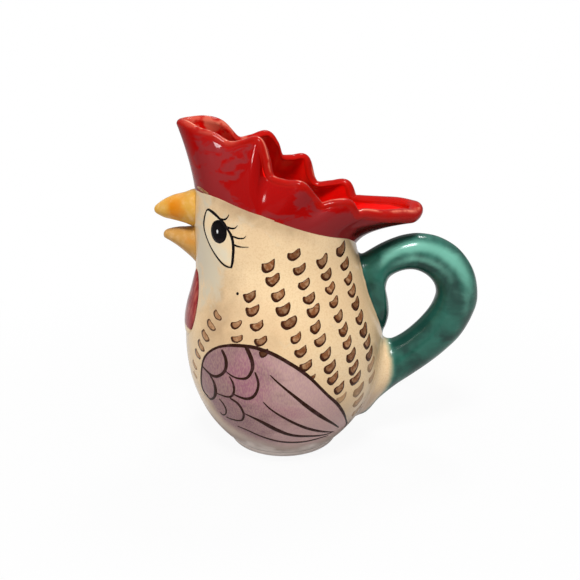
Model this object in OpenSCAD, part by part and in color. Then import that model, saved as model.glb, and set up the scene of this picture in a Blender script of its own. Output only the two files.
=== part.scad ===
// Rooster pitcher in glazed earthenware: a round jug body whose neck is the bird's head,
// an open comb as the pouring rim, two beaks, two wattles and a tail that is the handle.
// The bird looks along -X, the tail handle stands toward +X, +Z is up.
// The origin is the middle of the foot, on the table.

/* [Body] */
// Radius of the belly at its widest
belly_r = 60; // [40:0.5:90]
// Height over which the body outline is drawn
outline_h = 160; // [110:1:220]
// Thickness of the wall
wall_t = 5; // [3:0.5:8]
// Thickness of the floor
floor_t = 6; // [3:0.5:10]

/* [Foot] */
// Height of the flat foot
foot_h = 3; // [2:0.5:6]
// Size of the eased edge round the foot
foot_edge = 1; // [0.4:0.1:2]

/* [Seam under the comb] */
// Height of the seam above the beak
seam_front_h = 156.5; // [130:0.5:180]
// Height of the seam above the handle
seam_rear_h = 125; // [100:0.5:150]

/* [Comb] */
// Height of the highest lobe of the comb
comb_top_h = 196.5; // [170:0.5:230]
// How far the low rear lip rises above the rear seam
comb_rear_rise = 21.8; // [14:0.2:32]
// Reach of the comb ahead of the body axis
comb_front = 57.2; // [45:0.2:70]
// Reach of the rear lip behind the body axis
comb_back = 76.2; // [60:0.2:95]
// Half width of the mouth at its widest
comb_half_w = 33.5; // [24:0.5:45]
// Radius of the rounded rim
lip_r = 2.8; // [1.5:0.1:4]
// Radius of the thicker rear lip
rear_lip_r = 4.4; // [2:0.1:6]

/* [Beaks] */
// Height of the middle of the upper beak
upper_beak_z = 145.2; // [120:0.2:170]
// Length of the upper beak from the face to its tip
upper_beak_l = 24; // [12:0.5:40]
// Height of the upper beak where it meets the face
upper_beak_h = 22; // [12:0.2:30]
// Width of the upper beak where it meets the face
upper_beak_w = 23; // [12:0.5:32]
// Height of the middle of the lower beak
lower_beak_z = 123.4; // [100:0.2:150]
// Length of the lower beak from the face to its tip
lower_beak_l = 19; // [10:0.5:32]
// Height of the lower beak where it meets the face
lower_beak_h = 21; // [12:0.2:30]
// Width of the lower beak where it meets the face
lower_beak_w = 20; // [12:0.5:30]

/* [Wattles] */
// Height of the middle of the wattles
wattle_z = 93; // [70:0.5:110]
// Height of each wattle
wattle_h = 40; // [20:0.5:55]
// Width of each wattle, round the chest
wattle_w = 28; // [14:0.5:34]
// How far the wattles stand out from the chest
wattle_t = 1.8; // [1:0.1:3]
// Angle of each wattle away from the middle of the chest, in degrees
wattle_angle = 16.5; // [12:0.5:24]

/* [Handle] */
// How far the tail handle stands out from the belly
handle_out = 55.4; // [40:0.2:80]
// How far the top of the handle stands above the rear seam
handle_over = 6.4; // [2:0.2:9]
// Height of the lowest point of the handle root
handle_low_h = 12; // [6:0.5:40]
// Width of the handle across the grip
handle_w = 24; // [14:0.5:34]

/* [Hidden] */

cream = "#e6d3b3";
red = "#b3151a";
beak_yellow = "#e0a53a";
wattle_red = "#8c2326";
teal = "#2f7a6b";

// Body radius as shares of the belly radius, at even steps of height from the table up
front_shares = [0.525, 0.676, 0.792, 0.874, 0.932, 0.967, 0.984, 0.985, 0.973, 0.937, 0.892,
    0.864, 0.863, 0.865, 0.863, 0.852, 0.84];
side_shares = [0.525, 0.676, 0.797, 0.881, 0.942, 0.98, 0.995, 0.993, 0.974, 0.928, 0.871,
    0.815, 0.767, 0.74, 0.722, 0.71, 0.701];
rear_shares = [0.525, 0.676, 0.797, 0.887, 0.954, 0.994, 1.006, 1, 0.972, 0.922, 0.861,
    0.797, 0.731, 0.702, 0.7, 0.7, 0.7];

// Seam height from front to rear at even angles, as shares of its whole slope
seam_shares = [1, 1.065, 1.08, 1.04, 0.952, 0.845, 0.743, 0.615, 0.49, 0.38, 0.28, 0.14, 0];

// Rim points from the front to the rear: the angle on the seam that each one stands over,
// its place along the comb, its half width and its height, for the near and the far side
rim_angles = [0, 9, 20, 31, 42, 53, 65, 72, 77, 84, 92, 100, 107, 115, 124, 132, 140, 150, 160, 170, 180];
width_shares = [0, 0.18, 0.28, 0.34, 0.42, 0.52, 0.63, 0.7, 0.79, 0.93, 1,
    0.93, 0.898, 0.862, 0.815, 0.745, 0.652, 0.532, 0.387, 0.23, 0];
near_along_shares = [0, 0.028, 0.084, 0.145, 0.212, 0.28, 0.337, 0.366, 0.389, 0.453, 0.517,
    0.562, 0.596, 0.649, 0.706, 0.737, 0.777, 0.852, 0.928, 0.977, 1];
near_rise_shares = [1, 1, 0.932, 0.888, 0.8, 0.831, 0.876, 0.707, 0.498, 0.45, 0.442,
    0.296, 0.201, 0.228, 0.224, 0.1, 0.095, 0.062, 0.052, 0.03, 0.065];
far_along_shares = [0, 0.028, 0.092, 0.156, 0.221, 0.28, 0.345, 0.38, 0.402, 0.453, 0.514,
    0.544, 0.574, 0.634, 0.702, 0.733, 0.766, 0.852, 0.928, 0.98, 1];
far_rise_shares = [1, 1.004, 1.008, 0.952, 0.763, 0.767, 0.808, 0.69, 0.515, 0.482, 0.476,
    0.235, 0.162, 0.181, 0.2, 0.04, 0.035, 0.044, 0.058, 0.055, 0.065];

// Beak sections: place along the beak, drop of the middle, height and width
upper_beak_shares = [[-0.3, 0, 0.95, 1.08], [0.03, 0, 0.98, 1], [0.24, 0, 0.82, 0.83], [0.51, 0, 0.67, 0.64],
    [0.74, 0.03, 0.5, 0.45], [0.9, 0.05, 0.3, 0.28], [0.98, 0.06, 0.15, 0.15]];
lower_beak_shares = [[-0.4, 0.03, 1.08, 1.15], [-0.04, -0.005, 1.11, 1.07], [0.1, -0.05, 0.91, 0.98],
    [0.3, -0.12, 0.72, 0.84], [0.51, -0.195, 0.552, 0.7], [0.73, -0.245, 0.386, 0.52],
    [0.89, -0.262, 0.267, 0.34], [0.97, -0.252, 0.162, 0.18]];

// Handle sections from the upper root to the lower one: inner edge out and up,
// outer edge out and up, then width
handle_shares = [[-0.054, 0.469, -0.415, 0.838, 0.75], [0.013, 0.496, -0.307, 0.874, 1.05],
    [0.06, 0.571, -0.217, 0.896, 1.18], [0.052, 0.645, -0.135, 0.92, 1.15],
    [0.018, 0.716, -0.051, 0.943, 1.06], [0.047, 0.776, 0.065, 0.969, 0.96],
    [0.168, 0.812, 0.202, 0.991, 0.9], [0.307, 0.819, 0.365, 0.999, 0.88],
    [0.435, 0.795, 0.574, 0.98, 0.9], [0.523, 0.752, 0.783, 0.919, 0.93],
    [0.558, 0.702, 0.942, 0.812, 0.96], [0.538, 0.653, 1, 0.684, 0.98],
    [0.493, 0.608, 0.958, 0.586, 1], [0.419, 0.559, 0.848, 0.479, 1], [0.325, 0.511, 0.69, 0.393, 1],
    [0.224, 0.469, 0.523, 0.322, 1], [0.125, 0.441, 0.348, 0.256, 1.03],
    [0.029, 0.429, 0.171, 0.194, 1.13], [-0.09, 0.431, -0.004, 0.119, 1.3],
    [-0.235, 0.41, -0.162, 0.029, 1.42], [-0.307, 0.369, -0.379, 0, 1.42]];

// Wattle dome: distance from the middle and height, then its skirt inside the chest
dome_shares = [[0.3, 0.93], [0.58, 0.74], [0.8, 0.5], [0.94, 0.24], [1, 0]];
// How deep the wattle skirt goes, how much narrower its top is
skirt_share = 0.9;
taper_share = 0.3;

knots = len(rim_angles) - 1;
rim_steps = 2;
ring_n = 2 * knots * rim_steps;
outer_rows = 17;
inner_rows = 10;
wall_rows = 6;
lip_rows = 6;
// The cut for pieces set on the body reaches in to this share of its radius
bed_share = 0.25;
// Ring points in the middle of the rear, and on each side of a piece that is set on the body
rear_i = knots * rim_steps;
face_span = 5;
handle_span = 10;

seam_slope = seam_front_h - seam_rear_h;
comb_l = comb_front + comb_back;
comb_rear_h = seam_rear_h + comb_rear_rise;
comb_rise = comb_top_h - comb_rear_h;
handle_top_h = seam_rear_h + handle_over;

// Smooth curve through four points, from the second to the third
function blend(a, b, c, d, t) =
    0.5 * (2 * b + (c - a) * t + (2 * a - 5 * b + 4 * c - d) * t * t + (3 * b - a - 3 * c + d) * t * t * t);

// Value of an even list of shares at place s, counted in steps
function along(list, s) =
    let (m = len(list) - 1, i = max(0, min(m - 1, floor(s))), t = s - i)
    blend(list[max(0, i - 1)], list[i], list[i + 1], list[min(m, i + 2)], t);

// Angles run from the front, 0, over the far side, 90, to the rear, 180, and back on the near side
function fold(a) = a <= 180 ? a : 360 - a;
function radius(a, z) =
    let (s = z / outline_h * (len(front_shares) - 1), c = cos(a), k = c * c)
    belly_r * (k * along(c > 0 ? front_shares : rear_shares, s) + (1 - k) * along(side_shares, s));
function on_body(a, z, in_t = 0) =
    let (r = radius(a, z) - in_t) [-r * cos(a), r * sin(a), z];
function seam_z(a) =
    seam_rear_h + seam_slope * along(seam_shares, fold(a) / 180 * (len(seam_shares) - 1));

// Rim: knots go once round, the far side first
function knot(j) =
    let (w = j < 0 ? j + 2 * knots : j >= 2 * knots ? j - 2 * knots : j, turn = j < 0 ? -360 : j >= 2 * knots ? 360 : 0)
    w <= knots
    ? [rim_angles[w] + turn, far_along_shares[w], width_shares[w], far_rise_shares[w]]
    : let (v = 2 * knots - w) [360 - rim_angles[v] + turn, near_along_shares[v], -width_shares[v], near_rise_shares[v]];
rim = [for (j = [0 : 2 * knots - 1]) for (k = [0 : rim_steps - 1])
    blend(knot(j - 1), knot(j), knot(j + 1), knot(j + 2), k / rim_steps)];
rim_a = [for (p = rim) p[0]];
rim_lip = [for (p = rim) lip_r + (rear_lip_r - lip_r) * pow(max(0, -cos(p[0])), 4)];
rim_p = [for (i = [0 : ring_n - 1]) [
    rim[i][1] * comb_l - comb_front,
    rim[i][2] * comb_half_w,
    comb_rear_h + rim[i][3] * comb_rise - rim_lip[i]]];

function unit(v) = v / norm(v);
rim_dir = [for (i = [0 : ring_n - 1]) unit(rim_p[(i + 1) % ring_n] - rim_p[(i + ring_n - 1) % ring_n])];
rim_out = [for (d = rim_dir) unit([-d[1], d[0], 0])];
rim_up = [for (i = [0 : ring_n - 1]) cross(rim_dir[i], rim_out[i])];

// A point of the rounded lip, q from 0 at its outer edge to 1 at its inner edge
function lip_point(i, q) =
    let (start = -62 * pow(max(0, -cos(rim_a[i])), 2), f = start + (180 - start) * q)
    rim_p[i] + rim_lip[i] * (cos(f) * rim_out[i] + sin(f) * rim_up[i]);

// The comb wall leaves the seam upright and leans to the lip, q from 0 at the seam to 1
function wall_point(i, q, in_t, edge) =
    let (a = rim_a[i], c = cos(a), front = pow(max(0, c), 2), rear = pow(max(0, -c), 2), side = 1 - front - rear,
        low = on_body(a, seam_z(a), in_t),
        high = lip_point(i, edge),
        lean = 0.25 * side + 0.22 * rear + 0.3 * front,
        lift = 0.5 * side + 0.66 * rear + 0.5 * front,
        mid = low + [lean * (high[0] - low[0]), 0.6 * lean * (high[1] - low[1]), lift * (high[2] - low[2])])
    (1 - q) * (1 - q) * low + 2 * q * (1 - q) * mid + q * q * high;

// Faces of a closed tube of rows; flip turns the other diagonal
function tube_faces(rows, cols, first = 0) =
    [for (r = [first : rows - 2]) for (c = [0 : cols - 1])
        let (a = r * cols + c, b = r * cols + (c + 1) % cols, d = a + cols, e = b + cols)
        each [[a, b, e], [a, e, d]]];
function cap_face(row, cols, turned) =
    [for (c = [0 : cols - 1]) row * cols + (turned ? cols - 1 - c : c)];
module tube(rings) {
    rows = len(rings);
    cols = len(rings[0]);
    polyhedron(
        points = [for (r = rings) each r],
        faces = concat(tube_faces(rows, cols), [cap_face(0, cols, true)], [cap_face(rows - 1, cols, false)]));
}

outer_z_shares = [for (j = [0 : outer_rows - 1]) j / (outer_rows - 1)];
function outer_ring(j) = [for (a = rim_a) on_body(a, foot_h + outer_z_shares[j] * (seam_z(a) - foot_h))];
function inner_ring(j) =
    [for (a = rim_a)
        let (s = 1 - j / (inner_rows - 1), low = foot_h + floor_t,
            p = on_body(a, foot_h + s * (seam_z(a) - foot_h), wall_t))
        [p[0], p[1], low + s * (seam_z(a) - low)]];

module body() {
    color(cream)
        tube(concat([for (j = [0 : outer_rows - 1]) outer_ring(j)], [for (j = [0 : inner_rows - 1]) inner_ring(j)]));
}

// The piece of the body surface that an added piece is set against, from ring point i to k
module body_bed(i, k, low_row, high_row) {
    cols = k - i + 1;
    out = [for (j = [low_row : high_row])
        let (ring = outer_ring(j)) [for (c = [i : k]) ring[(c + ring_n) % ring_n]]];
    rows = len(out);
    // each row goes out along the surface and back inside it
    rings = [for (r = out) concat(r, [for (c = [cols - 1 : -1 : 0])
        let (p = r[c]) [p[0] * bed_share, p[1] * bed_share, p[2]]])];
    tube(rings);
}

module foot() {
    foot_r = radius(90, foot_h);
    color(cream)
        rotate_extrude($fn = 96)
            polygon([[0, 0], [foot_r - 2 * foot_edge, 0], [foot_r - foot_edge / 2, foot_edge / 2],
                [foot_r, 2 * foot_edge], [foot_r, foot_h], [0, foot_h]]);
}

module comb() {
    rows = concat(
        [for (j = [0 : wall_rows]) [for (i = [0 : ring_n - 1]) wall_point(i, j / wall_rows, 0, 0)]],
        [for (j = [1 : lip_rows]) [for (i = [0 : ring_n - 1]) lip_point(i, j / lip_rows)]],
        [for (j = [1 : wall_rows]) [for (i = [0 : ring_n - 1]) wall_point(i, 1 - j / wall_rows, wall_t, 1)]]);
    last = (len(rows) - 1) * ring_n;
    color(red)
        polyhedron(
            points = [for (r = rows) each r],
            faces = concat(tube_faces(len(rows), ring_n),
                [for (c = [0 : ring_n - 1]) let (d = (c + 1) % ring_n) each [[last + c, last + d, d], [last + c, d, c]]]));
}

module beak(z, l, h, w, shares) {
    face_x = -radius(0, z);
    rings = [for (s = shares) [for (f = [0 : 18 : 342])
        [face_x - s[0] * l, -s[3] * w / 2 * sin(f), z - s[1] * h + s[2] * h / 2 * cos(f)]]];
    tube(rings);
}

module upper_beak() {
    color(beak_yellow)
        difference() {
            beak(upper_beak_z, upper_beak_l, upper_beak_h, upper_beak_w, upper_beak_shares);
            body_bed(-face_span, face_span, 12, 16);
        }
}

module lower_beak() {
    color(beak_yellow)
        difference() {
            beak(lower_beak_z, lower_beak_l, lower_beak_h, lower_beak_w, lower_beak_shares);
            body_bed(-face_span, face_span, 9, 15);
        }
}

// A drop-shaped pad on the chest; side is 1 for the far side and -1 for the near side
function pad_point(side, f, reach, lift) =
    let (narrow = 1 - taper_share * cos(f),
        turn = wattle_angle + reach * narrow * sin(f) * wattle_w / 2 / belly_r * 180 / PI,
        z = wattle_z + reach * cos(f) * wattle_h / 2)
    on_body(side * turn, z, -lift);
module wattle(side) {
    sides = 24;
    turns = [for (k = [0 : sides - 1]) side * 360 * k / sides];
    top = [for (d = dome_shares) [for (f = turns) pad_point(side, f, d[0], wattle_t * d[1])]];
    skirt = [for (f = turns) pad_point(side, f, 1, -wattle_t * skirt_share)];
    rings = concat(top, [skirt]);
    rows = len(rings);
    n = rows * sides;
    difference() {
        polyhedron(
            points = concat([for (r = rings) each r],
                [pad_point(side, 0, 0, wattle_t), pad_point(side, 0, 0, -wattle_t * skirt_share)]),
            faces = concat(tube_faces(rows, sides),
                [for (c = [0 : sides - 1]) [n, (c + 1) % sides, c]],
                [for (c = [0 : sides - 1]) [n + 1, n - sides + c, n - sides + (c + 1) % sides]]));
        body_bed(side > 0 ? 0 : -2 * face_span, side > 0 ? 2 * face_span : 0, 6, 13);
    }
}

module wattle_near() {
    color(wattle_red) wattle(-1);
}

module wattle_far() {
    color(wattle_red) wattle(1);
}

module handle() {
    steps = 3;
    m = len(handle_shares) - 1;
    reach = handle_out;
    rise = handle_top_h - handle_low_h;
    sections = [for (s = [0 : m * steps]) along(handle_shares, s / steps)];
    rings = [for (s = sections)
        let (inner = [belly_r + s[0] * reach, 0, handle_low_h + s[1] * rise],
            outer = [belly_r + s[2] * reach, 0, handle_low_h + s[3] * rise],
            mid = (inner + outer) / 2,
            half = (outer - inner) / 2)
        [for (f = [0 : 18 : 342]) mid + half * cos(f) + [0, s[4] * handle_w / 2 * sin(f), 0]]];
    color(teal)
        difference() {
            tube(rings);
            body_bed(rear_i - handle_span, rear_i + handle_span, 0, outer_rows - 2);
        }
}

body();
foot();
comb();
upper_beak();
lower_beak();
wattle_near();
wattle_far();
handle();
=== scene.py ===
"""A jug in the shape of a rooster: glazed earthenware with painted eyes, wings and feathers.

Lengths are in metres. The bird looks along -X, its tail handle is on +X, and Z is up. A place on
the body is given by its angle, 0 at the front and 180 at the rear, and by its height.
"""
import math
import random

import bpy
import numpy as np
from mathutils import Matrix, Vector


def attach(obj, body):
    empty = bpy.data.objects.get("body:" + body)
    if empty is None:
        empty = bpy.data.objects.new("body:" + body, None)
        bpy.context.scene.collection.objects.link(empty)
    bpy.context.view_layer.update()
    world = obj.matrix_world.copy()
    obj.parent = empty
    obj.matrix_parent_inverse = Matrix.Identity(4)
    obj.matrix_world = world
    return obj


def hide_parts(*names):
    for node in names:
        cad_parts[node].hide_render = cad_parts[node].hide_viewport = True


bl_info = {
    "name": "Rooster pitcher",
    "version": (1, 0, 0),
    "blender": (4, 5, 0),
    "location": "3D View > Sidebar > Pitcher",
    "description": "Builds a glazed rooster pitcher piece by piece",
    "category": "Add Mesh",
}

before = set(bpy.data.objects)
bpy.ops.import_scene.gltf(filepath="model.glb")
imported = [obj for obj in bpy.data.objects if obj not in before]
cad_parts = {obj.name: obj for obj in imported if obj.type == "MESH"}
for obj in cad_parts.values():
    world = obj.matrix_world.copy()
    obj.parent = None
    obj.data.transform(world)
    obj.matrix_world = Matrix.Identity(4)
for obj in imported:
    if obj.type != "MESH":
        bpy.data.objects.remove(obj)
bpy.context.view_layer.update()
MM = 0.001
SIDES = {"near": -1, "far": 1}

# Body outline at the front, side and rear: shares of the belly radius at 17 even heights
FRONT = [0.525, 0.676, 0.792, 0.874, 0.932, 0.967, 0.984, 0.985, 0.973, 0.937, 0.892, 0.864, 0.863,
         0.865, 0.863, 0.852, 0.84]
SIDE = [0.525, 0.676, 0.797, 0.881, 0.942, 0.98, 0.995, 0.993, 0.974, 0.928, 0.871, 0.815, 0.767,
        0.74, 0.722, 0.71, 0.701]
REAR = [0.525, 0.676, 0.797, 0.887, 0.954, 0.994, 1.006, 1, 0.972, 0.922, 0.861, 0.797, 0.731,
        0.702, 0.7, 0.7, 0.7]

# Seam under the comb, every 15 degrees from front to rear: 1 at the front height, 0 at the rear
SEAM = [1, 1.065, 1.08, 1.04, 0.952, 0.845, 0.743, 0.615, 0.49, 0.38, 0.28, 0.14, 0]

# Comb rim from front to rear: angle, then place along the comb, half width and rise
RIM_ANGLE = [0, 9, 20, 31, 42, 53, 65, 72, 77, 84, 92, 100, 107, 115, 124, 132, 140, 150, 160, 170,
             180]
RIM_WIDTH = [0, 0.18, 0.28, 0.34, 0.42, 0.52, 0.63, 0.7, 0.79, 0.93, 1, 0.93, 0.898, 0.862, 0.815,
             0.745, 0.652, 0.532, 0.387, 0.23, 0]
NEAR_ALONG = [0, 0.028, 0.084, 0.145, 0.212, 0.28, 0.337, 0.366, 0.389, 0.453, 0.517, 0.562, 0.596,
              0.649, 0.706, 0.737, 0.777, 0.852, 0.928, 0.977, 1]
NEAR_RISE = [1, 1, 0.932, 0.888, 0.8, 0.831, 0.876, 0.707, 0.498, 0.45, 0.442, 0.296, 0.201, 0.228,
             0.224, 0.1, 0.095, 0.062, 0.052, 0.03, 0.065]
FAR_ALONG = [0, 0.028, 0.092, 0.156, 0.221, 0.28, 0.345, 0.38, 0.402, 0.453, 0.514, 0.544, 0.574,
             0.634, 0.702, 0.733, 0.766, 0.852, 0.928, 0.98, 1]
FAR_RISE = [1, 1.004, 1.008, 0.952, 0.763, 0.767, 0.808, 0.69, 0.515, 0.482, 0.476, 0.235, 0.162,
            0.181, 0.2, 0.04, 0.035, 0.044, 0.058, 0.055, 0.065]

# How far the comb wall leans and rises on its way to the lip, at its side, rear and front
COMB_LEAN = (0.25, 0.22, 0.3)
COMB_LIFT = (0.5, 0.66, 0.5)
# How far the lip rolls under at the rear, in degrees
LIP_ROLL = 62
# How far inside its outline the body has an edge on its underside, in mm
BASE_EDGE = (6, 0.4)
# Hidden edges at the seam in mm, as height over the seam and depth: of the body, of the comb
NECK_EDGE = ((0.5, 0.04), (1.2, 0.3), (2, 1), (2, 2.5))
COMB_EDGE = ((-2.5, 2.4), (-2, 1), (-1.2, 0.3), (-0.5, 0.04))
# How far the inner edge of the comb stays within the body wall, in mm
COMB_INNER = 0.4

# Beaks: height, reach, height of the root and its width in mm
UPPER_SIZE = (145.2, 24, 22, 23)
LOWER_SIZE = (123.4, 19, 21, 20)
# Beak sections: how far out, drop, height and width
UPPER_BEAK = [[-0.16, 0, 0.95, 1.08], [0.03, 0, 0.98, 1], [0.24, 0, 0.82, 0.83],
              [0.51, 0, 0.67, 0.64], [0.74, 0.03, 0.5, 0.45], [0.9, 0.05, 0.3, 0.28],
              [0.98, 0.06, 0.15, 0.15], [1, 0.06, 0, 0]]
LOWER_BEAK = [[-0.19, 0.03, 1.08, 1.15], [-0.04, -0.005, 1.11, 1.07], [0.1, -0.05, 0.91, 0.98],
              [0.3, -0.12, 0.72, 0.84], [0.51, -0.195, 0.552, 0.7], [0.73, -0.245, 0.386, 0.52],
              [0.89, -0.262, 0.267, 0.34], [0.97, -0.252, 0.162, 0.18], [1, -0.252, 0, 0]]

# Handle sections from the upper root to the lower one, in mm: inner edge x and z, outer edge
# x and z, then the share of the full width
HANDLE = [[57, 68, 37, 112, 0.75], [60.7, 71.2, 43, 116.3, 1.05], [63.3, 80.2, 48, 119, 1.18],
          [62.9, 89, 52.5, 121.8, 1.15], [61, 97.5, 57.2, 124.6, 1.06],
          [62.6, 104.6, 63.6, 127.7, 0.96], [69.3, 108.9, 71.2, 130.3, 0.9],
          [77, 109.8, 80.2, 131.3, 0.88], [84.1, 106.9, 91.8, 129, 0.9],
          [89, 101.8, 103.4, 121.7, 0.93], [90.9, 95.8, 112.2, 109, 0.96],
          [89.8, 90, 115.4, 93.7, 0.98], [87.3, 84.6, 113.1, 82, 1], [83.2, 78.8, 107, 69.2, 1],
          [78, 73, 98.2, 58.9, 1], [72.4, 68, 89, 50.4, 1], [66.9, 64.6, 79.3, 42.6, 1.03],
          [61.6, 63.2, 69.5, 35.2, 1.13], [55, 63.5, 59.8, 26.2, 1.3], [47, 61, 51, 15.5, 1.42],
          [43, 56, 39, 12, 1.42]]

# Edge of a handle root, as mm past its flare and mm deep, and its closed end inside the wall, as
# share of its size and mm deep
ROOT_EDGE = ((0.6, 0.06), (1.1, 0.2), (1.2, 0.6))
ROOT_END = ((0.97, 1.2), (0.7, 2), (0.4, 2.2), (0, 2.2))

# A wattle: angle of its middle, how much narrower it is at its top, the rings of its back as
# share of its size and mm deep, the power of its rounding, then how it rises from middle to edge
WATTLE_TURN = 16.5
WATTLE_TAPER = 0.3
WATTLE_BACK = ((0, 1), (0.7, 1), (1, 0.8))
WATTLE_ROUND = 2.2
DOME = [[0, 1], [0.3, 0.93], [0.58, 0.74], [0.8, 0.5], [0.94, 0.24], [1, 0]]

# Feather marks in columns from the front to the tail: angle, height, then width and height in mm
FEATHERS = [
    [(51.2, 94.9, 7.2, 5.3), (47.7, 88.7, 8.1, 5.8), (44.3, 81.7, 8.1, 6.4), (41.1, 74.6, 7.8, 6.4),
     (37.4, 68.2, 6.8, 5.5), (32.4, 59.3, 6.3, 5.8), (30.7, 52.3, 5.6, 4.7)],
    [(65.3, 92.6, 6.8, 5.7), (66.8, 85.3, 7.1, 5.1)],
    [(71.7, 108.3, 7.4, 7.1), (74.5, 101.2, 8, 6.8), (78, 93.5, 7.6, 6.4), (80.9, 85.9, 7.1, 6.2),
     (82.8, 79.5, 5.2, 5.1)],
    [(83.1, 124.8, 7.8, 8), (86.4, 117.7, 8, 7.5), (90, 109.8, 7.9, 7.4), (93.3, 102.5, 8.4, 7.7),
     (96.5, 95.7, 9.1, 7.5), (100.3, 87.7, 6.3, 6.5), (102.6, 80.3, 7.3, 6.6),
     (105.2, 72.2, 7.4, 7.2), (109.3, 65.4, 2.6, 3.2)],
    [(100.9, 130.9, 7.4, 6.9), (104.4, 123, 7.5, 6.7), (107.1, 115.1, 6.9, 6.2),
     (109.8, 107.5, 7.4, 6.5), (111.8, 100.9, 7.8, 7.6), (111.9, 92.4, 6.5, 7.2),
     (113.9, 85.1, 7.2, 7.2), (116.5, 77.2, 7, 7.7), (118.8, 69.3, 7.4, 7.9),
     (120.5, 62.1, 7.3, 8), (124.8, 54.7, 7.1, 8.1), (127.3, 47.6, 6.8, 6.9)],
    [(122.1, 125.8, 7.7, 8.5), (124.4, 118.1, 7.3, 6.7), (125.6, 110.7, 7.1, 6.6),
     (126.6, 103.2, 6.8, 6.5), (127.9, 95.6, 6.8, 6.9), (129.5, 87.8, 7, 7.6),
     (130.8, 80.4, 6.8, 7.7), (132.8, 72.7, 7.5, 8.7), (134.4, 64.8, 7.8, 8.9),
     (136.2, 57.3, 8.7, 8.2), (140.2, 48.3, 9, 9.4), (143.1, 39.5, 8.6, 8.6),
     (147.7, 30, 8, 7.2)],
    [(141.6, 129.4, 9.4, 8.7), (144.2, 120.5, 8.9, 7), (144.2, 112.5, 8.5, 7),
     (144.2, 105.7, 8.4, 7), (144.4, 98.7, 8.7, 6.9), (144.6, 90.8, 8.5, 7.5),
     (145.7, 83.3, 8.4, 8.1), (147.2, 75.8, 8.1, 8.3), (148.6, 68.3, 8.3, 8.3),
     (150.6, 60.9, 8.4, 9), (153.5, 51.5, 8, 7.7)]]
# How many of the last marks of each column fade into the glaze
FAINT = [2, 0, 0, 0, 1, 3, 2]

# Outline of one feather mark in a unit box, x towards the tail and y down
MARK = [(0, 0.5), (0.08, 0.36), (0.3, 0.34), (0.52, 0.25), (0.76, 0.08), (0.94, 0), (1, 0.2),
        (0.98, 0.5), (0.8, 0.8), (0.48, 1), (0.2, 0.94), (0.03, 0.72)]
FRONT_MARK = [(0.22, 0), (0.42, 0.2), (0.66, 0.38), (0.9, 0.56), (1, 0.75), (0.92, 0.92),
              (0.65, 1), (0.35, 0.9), (0.1, 0.65), (0, 0.3)]

# A feather mark: its height in mm over the glaze, how far the brush may slip at a corner, as a
# share of the mark, and how much darker it is at its lower front edge
MARK_RISE, BRUSH_SLIP, MARK_LEAN = 0.1, 0.035, 0.08
# How faint the marks of the first column are, and a column's fading ones at first and at last
FAINT_FRONT, FAINT_FIRST, FAINT_LAST = 0.08, 0.3, 0.5
# How watery the paint of the first column is, and at most that of the second
WATERY_FRONT, WATERY_NEXT = 0.2, 0.35
# How dark the marks on the wing are, and at most those of the first two columns and the others
DARK_WING, DARK_FRONT, DARK_REAR = 0.9, 0.2, 0.5
SEED = 11

# Brush lines of a wing: how much heavier than here they are drawn, then angle, height in mm
# and width in mm
WING_WEIGHT = 1.15
WING_EDGE = [
    (42.6, 42.6, 0.78), (39, 44.4, 1.13), (38.2, 48.4, 1.06), (39.3, 53.8, 0.94),
    (41.1, 60, 0.92), (42.9, 65.4, 0.95), (45.8, 70.3, 0.89), (50.6, 75, 0.84),
    (56, 78.4, 0.87), (61.6, 80.5, 0.97), (66.2, 81.5, 1.14), (71.3, 82.1, 1.14),
    (77.4, 82.1, 1.2), (82.1, 81.1, 1.27), (86.7, 79.7, 1.28), (91.8, 77.2, 1.29),
    (97.3, 73.6, 1.29), (101.7, 70.3, 1.29), (107.4, 64.9, 1.16), (112.8, 58.4, 1.05),
    (118, 52, 1.06), (124.2, 45.2, 1.18), (130.8, 36.8, 1.09), (138.5, 27, 0.72),
    (143.5, 21.7, 0.8), (145.8, 17.6, 0.9)]
WING_SCALES = [
    [(58.3, 76.8, 1.09), (60.2, 74, 1.31), (61.2, 70.5, 1.46), (60.7, 66.5, 1.25),
     (58.4, 63, 1.13), (54.4, 60.1, 1.04), (50.2, 59.4, 1.11), (46.3, 60.6, 0.97),
     (42.4, 62.2, 0.61)],
    [(73.3, 81.2, 1.38), (75.1, 78, 1.51), (76.7, 74.1, 1.43), (76.9, 70.4, 1.25),
     (75.6, 66.5, 1.05), (73.5, 63.9, 0.95), (70.4, 62.9, 0.83), (66.6, 62.9, 0.69),
     (63.7, 63.8, 0.6), (61.3, 65.1, 0.38)],
    [(49.1, 58.6, 0.76), (51.4, 55.7, 1.25), (52.1, 51.8, 1.6), (51.4, 48, 1.47),
     (49, 44.1, 0.99), (45.1, 41.4, 0.92), (42.3, 42.1, 0.94)],
    [(63.3, 62.4, 0.55), (65.2, 59.2, 0.91), (65.7, 55.3, 0.98), (64.9, 52, 0.86),
     (62.9, 49.6, 0.79), (59.9, 48.6, 0.74), (56.5, 48.5, 0.65), (52.8, 48.5, 0.42)],
    [(78.4, 67.8, 0.57), (79.7, 63.9, 0.87), (80, 60, 0.89), (78.9, 55.9, 0.99),
     (76.7, 52.5, 1.08), (73.5, 50.7, 1.15), (70.4, 50.6, 0.98), (66.6, 51.4, 0.72),
     (64.6, 52.3, 0.5)],
    [(54.1, 45, 0.57), (56.3, 42.4, 0.77), (57.3, 38.9, 0.82), (56.1, 35.3, 0.56),
     (53, 32.9, 0.65), (51, 33.7, 0.7)],
    [(62.7, 48.2, 0.71), (66.6, 46.4, 1.07), (68.8, 43.2, 1.07), (69.7, 38.8, 0.95),
     (67.8, 34.2, 0.71), (64.4, 32.5, 0.75), (59.5, 32, 0.69), (55.3, 32.1, 0.53)]]
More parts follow.
